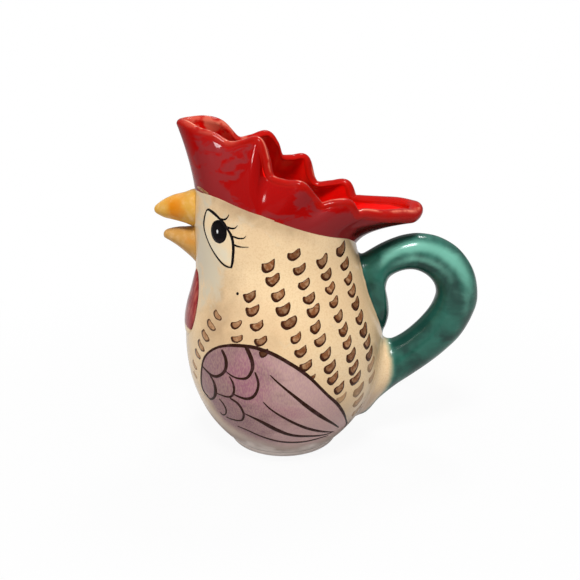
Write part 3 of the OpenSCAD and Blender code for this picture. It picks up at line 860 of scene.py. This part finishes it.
def body_glaze():
    g = Glaze("cream_glaze_with_wings", 1.38)
    # Painted shade: the cream turns warm brown where the body lies in shade
    shade = g.stir(g.value("shade"), g.noise(0.009, 4, twist=0.5), 0.6)
    base = g.mix(g.step(shade, 0.0, 1.0), cream_coat(g), "shade")
    # Greyish cream, partly painted sheen and shade at the front edge
    pale = g.stir(g.value("pale"), g.noise(0.008, 2, twist=1.0), 1.3)
    base = g.mix(g.step(pale, 0.15, 0.85), base, "pale")
    face = g.plus(g.value("face"), g.times(g.noise(0.005), 2.0))
    base = g.mix(g.step(face, *FACE_START), base, "yellow")
    streaks = g.noise(0.012, 3, (0.8, 0.8, 1.4), 0.6)
    tone = g.stir(g.value("wing_tone"), streaks, 1.4)
    heart = g.stir(g.value("wing_heart"), streaks, 1.4)
    wash = g.mix(g.step(tone, 0.0, 1.0), "wing_deep", "wing")
    wash = g.mix(g.step(heart, 0.1, 1.1, 0.0, 0.8), wash, "purple")
    threads = g.noise(0.0008, 1, (1.5, 1.5, 0.4))
    wash = g.mix(g.step(threads, 0.35, 0.65, 0.0, 0.16), wash, "cream")
    edge = g.step(g.value("wing_in"), *WASH_START)
    soft = g.step(g.stir(g.value("wing_up"), g.noise(0.004), 3.0), *WASH_FADE)
    base = g.mix(g.times(g.times(edge, soft), 0.96), base, wash)
    g.bump(g.noise(0.009, 2), 0.12)
    return g.done(base, g.step(g.noise(0.02), 0.3, 0.7, 0.13, 0.2))


def foot_glaze():
    g = Glaze("foot_glaze")
    bare = g.step(g.height(), *BARE_END, 1.0, 0.0)
    grain = g.mix(g.noise(0.0012), "bisque", "warm")
    g.bump(g.noise(0.0015), 0.15)
    return g.done(g.mix(bare, cream_coat(g), grain), g.step(bare, 0.0, 1.0, 0.16, 0.7))


def red_glaze():
    g = Glaze("red_glaze", 1.2)
    brush = g.noise(0.009, 4, (0.7, 0.7, 1.5), 0.8)
    # Mauve: partly the glaze's own unevenness, partly painted sheen and shade
    wall = g.mix(g.step(g.stir(g.value("thin"), brush, 1.3), 0.42, 0.62), "red", "mauve")
    # Painted shade: deep red under the comb's tail
    wall = g.mix(g.step(g.stir(g.value("under"), brush, 1.0), 0.15, 0.65), wall, "deep")
    # Brighter red inside the comb: painted light where the inside lies in shade
    inner = g.mix(g.step(g.noise(0.006), 0.35, 0.75, 0.0, 0.25), "inner", "red")
    base = g.mix(g.step(g.value("within"), 0.6, 0.95), wall, inner)
    base = g.mix(g.times(g.step(g.value("lip"), 0.2, 1.0), 0.7), base, "lip")
    # Painted highlight on the lip's crest, which is also glaze worn thin, and a painted reflection
    # inside the front
    worn = g.plus(g.times(g.value("within"), g.value("worn")), g.value("crest"))
    worn = g.times(worn, g.step(g.noise(0.007), 0.38, 0.58, 0.0, 0.75))
    base = g.mix(worn, base, "thin_lip")
    g.bump(g.noise(0.008, 2), 0.2)
    return g.done(base, g.step(g.noise(0.015), 0.3, 0.7, 0.08, 0.16))


def beak_glaze(name, main):
    g = Glaze(name, 1.26)
    base = g.mix(g.step(g.noise(0.004), 0.4, 0.8, 0.0, 0.3), main, "cream")
    coat = g.stir(g.value("second_coat"), g.noise(0.007, 4, twist=0.6), 1.2)
    base = g.mix(g.step(coat, 0.1, 1.1), base, "orange")
    base = g.mix(g.value("mouth"), base, "brown")
    g.bump(g.noise(0.006, 2), 0.12)
    return g.done(base, 0.16)


def wattle_glaze():
    """Red glaze that stops short of the top and the foot of the wattle."""
    g = Glaze("wattle_glaze", 1.34)
    # Painted highlight: a paler streak down the wattle
    painted_highlight = g.step(g.noise(0.005, 3, (2.0, 2.0, 0.35)), 0.42, 0.7, 0.0, 0.3)
    base = g.mix(painted_highlight, "wattle", "thin_lip")
    # Painted shade: darker red towards the wattle's edge
    base = g.mix(g.step(g.value("rim"), 0.6, 0.95, 0.0, 0.6), base, "deep")
    ends = g.plus(g.height(), g.times(g.noise(0.004), 0.002))
    painted = g.times(g.step(ends, *WATTLE_START), g.step(ends, *WATTLE_END, 1.0, 0.0))
    g.bump(g.noise(0.006, 2), 0.15)
    return g.done(g.mix(painted, "cream", base), 0.16)


def handle_glaze():
    g = Glaze("teal_glaze", 1.36)
    teal = g.mix(g.step(g.noise(0.014, 5, (1, 0.6, 1), 0.5), 0.32, 0.7), "teal", "dark_teal")
    # Painted shade: dark teal on the underside
    teal = g.mix(g.step(g.value("crest"), -0.7, 0.0, 0.75, 0.0), teal, "dark_teal")
    # Painted highlight and reflection: light teal on the crest and in the bend
    crest = g.stir(g.value("crest"), g.noise(0.013, 4, twist=0.6), 1.0)
    teal = g.mix(g.step(crest, 0.1, 1.1, 0.0, 0.95), teal, "light_teal")
    ragged = g.noise(0.006)
    from_top = g.stir(g.value("from_top"), ragged, 2.0)
    from_low = g.stir(g.value("from_low"), ragged, 2.0)
    teal = g.mix(g.step(from_low, *TEAL_THIN, 0.35, 0.0), teal, "light_teal")
    painted = g.times(g.step(from_top, *TEAL_TOP), g.step(from_low, *TEAL_LOW))
    g.bump(g.noise(0.01, 2), 0.2)
    return g.done(g.mix(painted, cream_coat(g), teal), 0.2)


def feather_paint():
    g = Glaze("feather_paint", 1.2)
    base = g.mix(g.step(g.noise(0.0025, 4, twist=0.6), 0.35, 0.75, 0.0, 0.6), "feather", "warm")
    base = g.mix(g.value("tone"), base, "feather_edge")
    base = g.mix(g.value("watery"), base, "warm")
    rim = g.step(g.stir(g.value("rim"), g.noise(0.0016), 0.3), 0.6, 0.8)
    base = g.mix(rim, base, "feather_edge")
    return g.done(g.mix(g.value("faint"), base, "warm"), 0.18)


def ink_paint(name, main, thinning):
    g = Glaze(name, 1.18)
    thin = g.step(g.noise(0.003), 0.45, 0.8, 0.0, thinning)
    return g.done(g.mix(thin, main, "wing_deep"), 0.18)


def eye_white():
    g = Glaze("eye_white")
    return g.done(g.mix(g.step(g.noise(0.008), 0.3, 0.7), "eye", "cream"), 0.15)


def glint_paint():
    g = Glaze("glint_paint")
    core = g.step(g.plus(g.value("rim"), g.times(g.noise(0.001), 0.2)), 0.3, 1.1)
    return g.done(g.mix(core, "glint", "ink"), 0.15)


# Pieces

class PITCHER_OT_body(bpy.types.Operator):
    """Throws the hollow body with its cream glaze and the wash of the wings"""
    bl_idname = "pitcher.body"
    bl_label = "Body"

    def execute(self, context):
        s = sizes()
        a = round_angles(360)
        top = seam_height(a)
        rings = [on_body(a, s.foot, -radius(a, s.foot))]
        rings += [on_body(a, s.foot, -deep * MM) for deep in BASE_EDGE]
        rings += [on_body(a, s.foot + (top - s.foot) * q, 0) for q in np.linspace(0, 1, 80)]
        rings += [on_body(a, top + up * MM, -deep * MM) for up, deep in NECK_EDGE]
        low = s.foot + s.floor
        for q in np.linspace(1, 0, 50):
            ring = on_body(a, s.foot + (top - s.foot) * q, -s.wall)
            ring[:, 2] = low + (top - low) * q
            rings.append(ring)
        floor = rings[-1]
        rings += [floor * [q, q, 1] for q in (0.9, 0.6, 0.3, 0)]
        piece = raise_rings("body_clay", rings)
        paint_body(piece)
        dress(piece, body_glaze(), "cream_glaze", "body")
        return {"FINISHED"}


def paint_body(piece):
    """Sets how strong each paint of the body is at each point."""
    x, y, turn, z = paint_places(piece)
    top_edge, low_edge = edge_distance(WING_EDGE, x, y), edge_distance(WASH_LOW, x, y)
    within = inside([p[:2] for p in WING_EDGE] + WASH_LOW[::-1], x, y)
    near_top = top_edge < low_edge
    outside = {"wing_in": np.where(within, top_edge, np.where(near_top, -top_edge, WELL_IN)),
               "wing_up": np.where(within, low_edge, np.where(near_top, WELL_IN, -low_edge)),
               "face": np.minimum(FACE_SIDE - x, y - FACE_LOW)}
    outer = depth(read_points(piece)) > -0.4 * sizes().wall
    paint_values(piece, **{name: np.where(outer, value, NO_PAINT)
                           for name, value in outside.items()})
    middle, wide, deep, share = COMB_SHADE
    below = (seam_height(turn) - z) / MM
    under_comb = share * np.exp(-(below / deep) ** 2 - ((x - middle) / wide) ** 4)
    paint_values(piece, shade=stains(x, y, SHADE) + under_comb, pale=stains(x, y, PALE),
                 wing_heart=stains(x, y, WING_HEART),
                 wing_tone=(x - WING_TONE[0]) / WING_TONE[1])


class PITCHER_OT_foot(bpy.types.Operator):
    """Turns the foot disc with its rounded edge and bare underside"""
    bl_idname = "pitcher.foot"
    bl_label = "Foot"

    def execute(self, context):
        r = float(radius(np.pi / 2, sizes().foot)) / MM
        outline = [(0, 0.7), (12, 0.7), (r - 9, 0.7), (r - 7.5, 0.5), (r - 6.8, 0.05), (r - 6, 0),
                   (r - 3, 0), (r - 2, 0), (r - 1.2, 0.15), (r - 0.5, 0.55), (r - 0.1, 1.2),
                   (r, 2), (r, 3), (r - 0.3, 3.2), (r - 3, 3.3), (0, 3.3)]
        a = round_angles(144)
        rings = [np.stack([-np.cos(a) * x * MM, np.sin(a) * x * MM, 0 * a + z * MM], 1)
                 for x, z in outline]
        dress(raise_rings("foot_clay", rings), foot_glaze(), "foot_glaze", "foot")
        return {"FINISHED"}


class PITCHER_OT_comb(bpy.types.Operator):
    """Pulls the scalloped comb up from the seam and rounds its lip"""
    bl_idname = "pitcher.comb"
    bl_label = "Comb"

    def execute(self, context):
        s = sizes()
        rim = rim_curve(8)
        a = rim[0]
        top = seam_height(a)
        wall, lip = np.linspace(0, 1, 28), np.linspace(0, 1, 18)
        rings = [on_body(a, top + up * MM, -deep * MM) for up, deep in COMB_EDGE]
        rings += [comb_wall_ring(rim, q, 0, 0) for q in wall[:-1]]
        rings += [lip_ring(rim, q) for q in lip]
        rings += [comb_wall_ring(rim, q, s.wall, 1) for q in wall[-2::-1]]
        rings += [on_body(a, top + COMB_EDGE[0][0] * MM, COMB_INNER * MM - s.wall), rings[0]]
        before, after = [0] * (len(COMB_EDGE) + len(wall) - 1), [0] * (len(wall) + 1)
        up = [*[0] * len(COMB_EDGE), *wall[:-1], *[1] * len(lip), *wall[-2::-1], 0, 0]
        # The lip's crest: partly worn glaze, partly painted highlight
        middle, wide, share = LIP_CREST
        crest = share * np.exp(-((lip - middle) / wide) ** 2)
        layers = {"lip": np.exp((np.array(up) - 1) / LIP_REACH),
                  "crest": [*before, *crest, *after],
                  "within": [*before, *lip, *[1] * len(wall), 0]}
        piece = raise_rings("comb_clay", rings,
                            **{key: np.array(v)[:, None] for key, v in layers.items()})
        x, y, turn, z = paint_places(piece)
        # Mauve, partly painted sheen and shade, with more painted shade next to the seam
        seam = SEAM_SHADE * np.exp(-((z - seam_height(turn)) / MM / SEAM_REACH) ** 2)
        paint_values(piece, thin=MAUVE_BASE + stains(x, y, RED_SHEEN_AND_SHADE) + seam,
                     # Painted shade under the tail, then a painted reflection inside the front of
                     # the comb
                     under=stains(x, y, TAIL_UNDERSIDE_SHADE), worn=stains(x, y, PAINTED_GLEAM))
        dress(piece, red_glaze(), "red_glaze", "comb")
        return {"FINISHED"}


def beak(name, beak_size, sections, coat_at):
    """One half of the beak, from inside the head to its rounded tip."""
    z, reach, high, wide = beak_size
    face = float(radius(0.0, z * MM)) / MM
    f = round_angles(48)
    rings = [[[-(face + sections[0][0] * reach) * MM, 0, z * MM]] * len(f)]
    last = len(sections) - 3
    tip = last + 2 * np.sin(np.linspace(0, np.pi / 2, 9))
    for k in np.concatenate([np.linspace(0, last, 34)[:-1], tip]):
        out, drop, h, w = along(sections, k)
        h, w = max(h, 0), max(w, 0)
        rings.append(np.stack([0 * f - (face + out * reach) * MM, -w * wide / 2 * np.sin(f) * MM,
                               (z - drop * high + h * high / 2 * np.cos(f)) * MM], 1))
    piece = raise_rings(name + "_clay", rings)
    p = read_points(piece) / MM
    out, up = (-p[:, 0] - face) / reach, p[:, 2] - z
    paint_values(piece, second_coat=stains(out, up, [coat_at]))
    return piece


class PITCHER_OT_beaks(bpy.types.Operator):
    """Adds the two beaks with their yellow glaze"""
    bl_idname = "pitcher.beaks"
    bl_label = "Beaks"

    def execute(self, context):
        upper = beak("upper_beak", UPPER_SIZE, UPPER_BEAK, UPPER_COAT)
        lower = beak("lower_beak", LOWER_SIZE, LOWER_BEAK, LOWER_COAT)
        # The lower beak turns brown where its top faces up, under the upper beak
        level = read_points(lower, "normal")[:, 2]
        paint_values(lower, mouth=np.interp(level, MOUTH_LEVEL, (0, MOUTH_BROWN)))
        dress(upper, beak_glaze("upper_beak_glaze", "yellow"), "beak_glaze", "upper_beak")
        # The lower beak's darker yellow is painted shade under the upper beak
        dress(lower, beak_glaze("lower_beak_glaze", "ochre"), "beak_glaze", "lower_beak")
        return {"FINISHED"}


def pad_ring(side, reach, lift):
    """One ring of a wattle, reach from 0 in its middle to 1 at its edge."""
    s = sizes()
    f = round_angles(64)
    narrow = 1 - WATTLE_TAPER * np.cos(f)
    turn = math.radians(WATTLE_TURN) + reach * narrow * np.sin(f) * s.wattle_width / 2 / s.belly
    return on_body(side * turn, s.wattle_middle + reach * np.cos(f) * s.wattle_height / 2, lift)


class PITCHER_OT_wattles(bpy.types.Operator):
    """Presses the two wattles on the chest"""
    bl_idname = "pitcher.wattles"
    bl_label = "Wattles"

    def execute(self, context):
        material = wattle_glaze()
        share, rise = np.array(DOME).T
        for name, side in SIDES.items():
            rings = [pad_ring(side, q, -deep * MM) for q, deep in WATTLE_BACK]
            for q in np.linspace(1, 0, 14):
                lift = (math.sqrt(max(0, 1 - q ** WATTLE_ROUND)) + np.interp(q, share, rise)) / 2
                rings.append(pad_ring(side, q, lift * sizes().wattle_rise))
            piece = raise_rings("wattle_%s_clay" % name, rings)
            # How low each point lies on the wattle, for the painted shade at its edge
            lift = depth(read_points(piece)) / sizes().wattle_rise
            paint_values(piece, rim=1 - np.clip(lift, 0, 1))
            dress(piece, material, "wattle_glaze", "wattle_" + name)
        return {"FINISHED"}


def handle_points(s, f):
    """Points of the handle at section places s, one for each angle f round it."""
    rows = along(HANDLE, s)
    inner = np.stack([rows[..., 0], 0 * rows[..., 0], rows[..., 1]], -1) * MM
    outer = np.stack([rows[..., 2], 0 * rows[..., 0], rows[..., 3]], -1) * MM
    p = (inner + outer) / 2 + (outer - inner) / 2 * np.cos(f)[..., None]
    p[..., 1] += rows[..., 4] * sizes().handle_width / 2 * np.sin(f)
    return p


def root_line(last, f, flare):
    """Where each line of the handle meets the body: that point and the place before the flare."""
    line = np.linspace(len(HANDLE) // 2, last, 900)
    grid = handle_points(np.repeat(line[:, None], len(f), 1), np.repeat(f[None], len(line), 0))
    meet, before = [], []
    for j in range(len(f)):
        p = grid[:, j]
        d = depth(p)
        k = int(np.argmax(d < 0))
        t = d[k - 1] / (d[k - 1] - d[k])
        meet.append(p[k - 1] + (p[k] - p[k - 1]) * t)
        back = np.cumsum(np.linalg.norm(np.diff(p[:k + 1], axis=0), axis=1)[::-1])
        before.append(line[max(k - 1 - int(np.searchsorted(back, flare)), 0)])
    before = np.array(before)
    for _ in range(3):
        before = 0.5 * before + 0.25 * (np.roll(before, 1) + np.roll(before, -1))
    return np.array(meet), before


def root_rings(meet, flare, first):
    """Rings that flare a handle end onto the body and close it inside the wall, with the
    distance of each in mm past the place where the handle meets the body."""
    centre = meet.mean(0)
    a, z = place(meet)
    tiny = 1e-4
    normal = unit(np.cross(on_body(a + tiny, z) - on_body(a - tiny, z),
                           on_body(a, z + tiny) - on_body(a, z - tiny)))
    spread = meet - centre
    spread = unit(spread - (spread * normal).sum(1, keepdims=True) * normal)
    foot = on_body(*place(meet + spread * flare))
    rings, gone = [], []
    for q in np.linspace(0, 1, 9)[1:]:
        rings.append((1 - q) ** 2 * first + 2 * q * (1 - q) * meet + q * q * foot)
        gone.append((1 - 2 * q) * flare / MM)
    for past, deep in ROOT_EDGE:
        rings.append(on_body(*place(meet + spread * (flare + past * MM)), -deep * MM))
    for q, deep in ROOT_END:
        rings.append(on_body(*place(centre + (foot - centre) * q), -deep * MM))
    return rings, gone + [-flare / MM] * (len(rings) - len(gone))


def handle_light_and_shade(line, f):
    """Where the teal glaze is painted lighter, as a highlight on the crest and a reflection in the
    bend, and darker, as shade on the underside.
    """
    c = np.cos(f)
    middle, wide, first, last = TEAL_CREST
    crest = np.exp(-((c - middle) / wide) ** 2)
    crest = crest / (1 + np.exp((first - line) / 0.5)) / (1 + np.exp((line - last) / 0.8))
    return crest + stains(c, line, [TEAL_BEND]) - np.clip(-c - UNDERSIDE, 0, 1)


class PITCHER_OT_handle(bpy.types.Operator):
    """Bends the tail handle and smooths its two roots into the body"""
    bl_idname = "pitcher.handle"
    bl_label = "Handle"

    def execute(self, context):
        s = sizes()
        f = round_angles(72)
        top_meet, start = root_line(0, f, s.top_flare)
        low_meet, stop = root_line(len(HANDLE) - 1, f, s.low_flare)
        line = start + (stop - start) * np.linspace(0, 1, 130)[:, None]
        tube = handle_points(line, np.repeat(f[None], len(line), 0))
        top, top_gone = root_rings(top_meet, s.top_flare, tube[0])
        low = root_rings(low_meet, s.low_flare, tube[-1])[0]
        rings = np.concatenate([top[::-1], tube, low])
        none_top, none_low = np.zeros((len(top), len(f))), np.zeros((len(low), len(f)))
        step = np.linalg.norm(np.diff(tube, axis=0), axis=2) / MM
        down = np.concatenate([0 * step[:1], np.cumsum(step, axis=0)])
        from_top = np.concatenate([none_top + np.array(top_gone[::-1])[:, None],
                                   s.top_flare / MM + down, none_low + FAR_OFF])
        lower = (np.arange(len(rings)) > len(rings) // 2)[:, None]
        x, z = rings[..., 0] / MM, rings[..., 2] / MM
        edge = x - TEAL_EDGE[0] + ((z - TEAL_EDGE[1]) / TEAL_EDGE[2]) ** 2
        piece = raise_rings(
            "handle_clay", rings, from_top=np.minimum(from_top, FAR_OFF),
            from_low=np.where(lower, edge, FAR_OFF),
            # Painted highlight, reflection and shade on the teal
            crest=np.concatenate([none_top, handle_light_and_shade(line, f), none_low]))
        dress(piece, handle_glaze(), "teal_glaze", "handle")
        return {"FINISHED"}


class PITCHER_OT_feathers(bpy.types.Operator):
    """Brushes the brown feather marks in columns on both sides"""
    bl_idname = "pitcher.feathers"
    bl_label = "Feather marks"

    def execute(self, context):
        material = feather_paint()
        for side in SIDES:
            rng = random.Random(SEED + SIDES[side])
            sheet = Sheet(side)
            for column, marks in enumerate(FEATHERS):
                for row, mark in enumerate(marks):
                    shape = mark_outline(rng, mark, MARK if column else FRONT_MARK)
                    faint = 0 if column else FAINT_FRONT
                    fading = FAINT[column] - (len(marks) - row) + 1
                    if fading > 0:
                        faint = np.interp(fading / FAINT[column], (0, 1), (FAINT_FIRST, FAINT_LAST))
                    watery = (WATERY_FRONT, rng.uniform(0, WATERY_NEXT), 0)[min(column, 2)]
                    washed = inside(WING_EDGE, *np.array([mark[:2]]).T)[0]
                    darkest = DARK_REAR if column > 1 else DARK_FRONT
                    tone = DARK_WING if washed else rng.uniform(0, darkest)
                    sheet.patch(round_outline(shape, 2), MARK_RISE, 3,
                                rim=lambda q, o: np.clip(1 - q + lean(o), 0, 1.2),
                                tone=tone, faint=faint, watery=watery)
            sheet.finish("feather_marks", material)
        return {"FINISHED"}


def mark_outline(rng, mark, corners):
    """Corners of one feather mark in its place, each a little off as a brush leaves them."""
    u, z, w, h = mark
    r = float(radius(math.radians(u), z * MM)) / MM
    shape = []
    for x, y in corners:
        x += rng.uniform(-BRUSH_SLIP, BRUSH_SLIP)
        y += rng.uniform(-BRUSH_SLIP, BRUSH_SLIP)
        shape.append((u + math.degrees((x - 0.5) * w / r), z - (y - 0.5) * h))
    return shape


def lean(outline):
    """A feather mark is darker towards its lower front edge."""
    d = outline - outline.mean(0)
    d = d / np.abs(d).max(0)
    return -MARK_LEAN * d.sum(1)


class PITCHER_OT_wings(bpy.types.Operator):
    """Draws the outline, scales and long feathers of the wings"""
    bl_idname = "pitcher.wings"
    bl_label = "Wing lines"

    def execute(self, context):
        material = ink_paint("wing_ink", "line", 0.2)
        for side in SIDES:
            sheet = Sheet(side)
            for places in [WING_EDGE, *WING_SCALES, *WING_PLUMES]:
                sheet.line(places, sizes().line_rise / MM, WING_WEIGHT)
            sheet.finish("wing_lines", material)
        return {"FINISHED"}


class PITCHER_OT_eyes(bpy.types.Operator):
    """Paints the eyes, the cheek dots and the dab on the seam"""
    bl_idname = "pitcher.eyes"
    bl_label = "Eyes"

    def execute(self, context):
        white, glint, dab = eye_white(), glint_paint(), feather_paint()
        ink = ink_paint("eye_ink", "ink", 0.04)
        rise = sizes().line_rise / MM
        outline = [p[:2] for p in EYE_RIM[1:-1] + EYE_LID[::-1]]
        for side in SIDES:
            sheet = Sheet(side)
            sheet.patch(round_outline(outline, 3), EYE_RISE, 12)
            sheet.finish("eye_white", white)
            sheet = Sheet(side)
            for places, weight in EYE_LINES:
                sheet.line(places, rise, weight)
            for dot in (PUPIL, CHEEK_DOT):
                sheet.oval(dot, rise)
            sheet.finish("eye_lines", ink)
            sheet = Sheet(side)
            sheet.oval(GLINT, rise + GLINT_RISE, 20, rim=lambda q, o: 1 - q)
            sheet.finish("eye_glint", glint)
            sheet = Sheet(side)
            sheet.line(SEAM_DAB, rise)
            sheet.finish("seam_dab", dab)
        return {"FINISHED"}


# Stage

def aim(thing, where, target):
    """Puts a lamp or a camera in its place and turns it to what it points at."""
    bpy.context.collection.objects.link(thing)
    thing.location = where
    thing.rotation_euler = (Vector(target) - Vector(where)).to_track_quat("-Z", "Y").to_euler()


def soft_light(name, where, size, power):
    data = bpy.data.lights.new(name, "AREA")
    data.shape = "DISK"
    data.size = size
    data.energy = power
    aim(bpy.data.objects.new(name, data), where, LAMP_TARGET)


def studio_room(strength):
    """Even room light, brighter from above, that shows white to the camera."""
    world = bpy.data.worlds.new("studio_room")
    world.use_nodes = True
    tree = world.node_tree
    up = new_node(tree, "SeparateXYZ", "Z", {0: new_node(tree, "TexCoord", "Generated")})
    low, high, faint, strong = ROOM_RISE
    rise = new_node(tree, "MapRange", 0, {
        0: up, 1: low, 2: high, 3: faint * strength, 4: strong * strength})
    seen = new_node(tree, "LightPath", "Is Camera Ray")
    back = tree.nodes["Background"].inputs
    back["Color"].default_value = (1, 1, 1, 1)
    wire(tree, new_node(tree, "Mix", 0, {0: seen, 2: rise, 3: 1.0}), back["Strength"])
    return world


def floor_paint():
    """Pale floor that shows white to the camera and still takes the shadow."""
    material = bpy.data.materials.new("studio_floor")
    material.use_nodes = True
    tree = material.node_tree
    shader = tree.nodes["Principled BSDF"]
    for key, value in (("Base Color", (0.6, 0.6, 0.6, 1)), ("Roughness", 0.9),
                       ("Specular IOR Level", 0.1)):
        shader.inputs[key].default_value = value
    coords = new_node(tree, "TexCoord", "Object")
    reach = new_node(tree, "VectorMath", "Value", {0: coords}, operation="LENGTH")
    share = new_node(tree, "MapRange", 0, dict(enumerate((reach, *FLOOR_FADE))),
                     interpolation_type="SMOOTHSTEP")
    seen = new_node(tree, "LightPath", "Is Camera Ray")
    share = new_node(tree, "Math", 0, {0: share, 1: seen}, operation="MULTIPLY")
    glow = new_node(tree, "Emission", 0, {"Color": (1, 1, 1, 1)})
    both = new_node(tree, "MixShader", 0, {0: share, 1: shader.outputs[0], 2: glow})
    wire(tree, both, tree.nodes["Material Output"].inputs["Surface"])
    return material


class PITCHER_OT_stage(bpy.types.Operator):
    """Sets the pale floor, the soft lights and the camera"""
    bl_idname = "pitcher.stage"
    bl_label = "Stage"

    def execute(self, context):
        scene = context.scene
        setting = scene.pitcher_stage
        bpy.ops.object.select_all(action="DESELECT")
        bpy.ops.mesh.primitive_plane_add(size=6)
        floor = context.object
        floor.name = "studio_floor"
        floor.data.materials.append(floor_paint())
        scene.world = studio_room(setting.sky)
        for name, (where, size) in LAMPS.items():
            soft_light(name + "_light", where, size, getattr(setting, name))
        camera = bpy.data.objects.new("photo_camera", bpy.data.cameras.new("photo_camera"))
        aim(camera, setting.eye, setting.target)
        camera.data.lens = setting.lens
        camera.data.sensor_width = 36
        camera.data.clip_start = 0.01
        scene.camera = camera
        scene.view_settings.view_transform = "Standard"
        return {"FINISHED"}


OPERATORS = (PITCHER_OT_body, PITCHER_OT_foot, PITCHER_OT_comb, PITCHER_OT_beaks,
             PITCHER_OT_wattles, PITCHER_OT_handle, PITCHER_OT_feathers, PITCHER_OT_wings,
             PITCHER_OT_eyes, PITCHER_OT_stage)
GROUPS = {"pitcher_sizes": PitcherSizes, "pitcher_glazes": PitcherGlazes,
          "pitcher_stage": PitcherStage}


class PITCHER_PT_tools(bpy.types.Panel):
    """Lists the pieces of the pitcher"""
    bl_label = "Rooster pitcher"
    bl_space_type = "VIEW_3D"
    bl_region_type = "UI"
    bl_category = "Pitcher"

    def draw(self, context):
        for kind in OPERATORS:
            self.layout.operator(kind.bl_idname)
        for name in GROUPS:
            group = getattr(context.scene, name)
            box = self.layout.box()
            for key in group.__annotations__:
                box.prop(group, key)


CLASSES = (*GROUPS.values(), *OPERATORS, PITCHER_PT_tools)


def register():
    for kind in CLASSES:
        bpy.utils.register_class(kind)
    for name, group in GROUPS.items():
        setattr(bpy.types.Scene, name, bpy.props.PointerProperty(type=group))


def unregister():
    for name in GROUPS:
        delattr(bpy.types.Scene, name)
    for kind in reversed(CLASSES):
        bpy.utils.unregister_class(kind)


def main():
    register()
    for kind in OPERATORS:
        family, name = kind.bl_idname.split(".")
        getattr(getattr(bpy.ops, family), name)()
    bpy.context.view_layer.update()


if __name__ == "__main__":
    main()
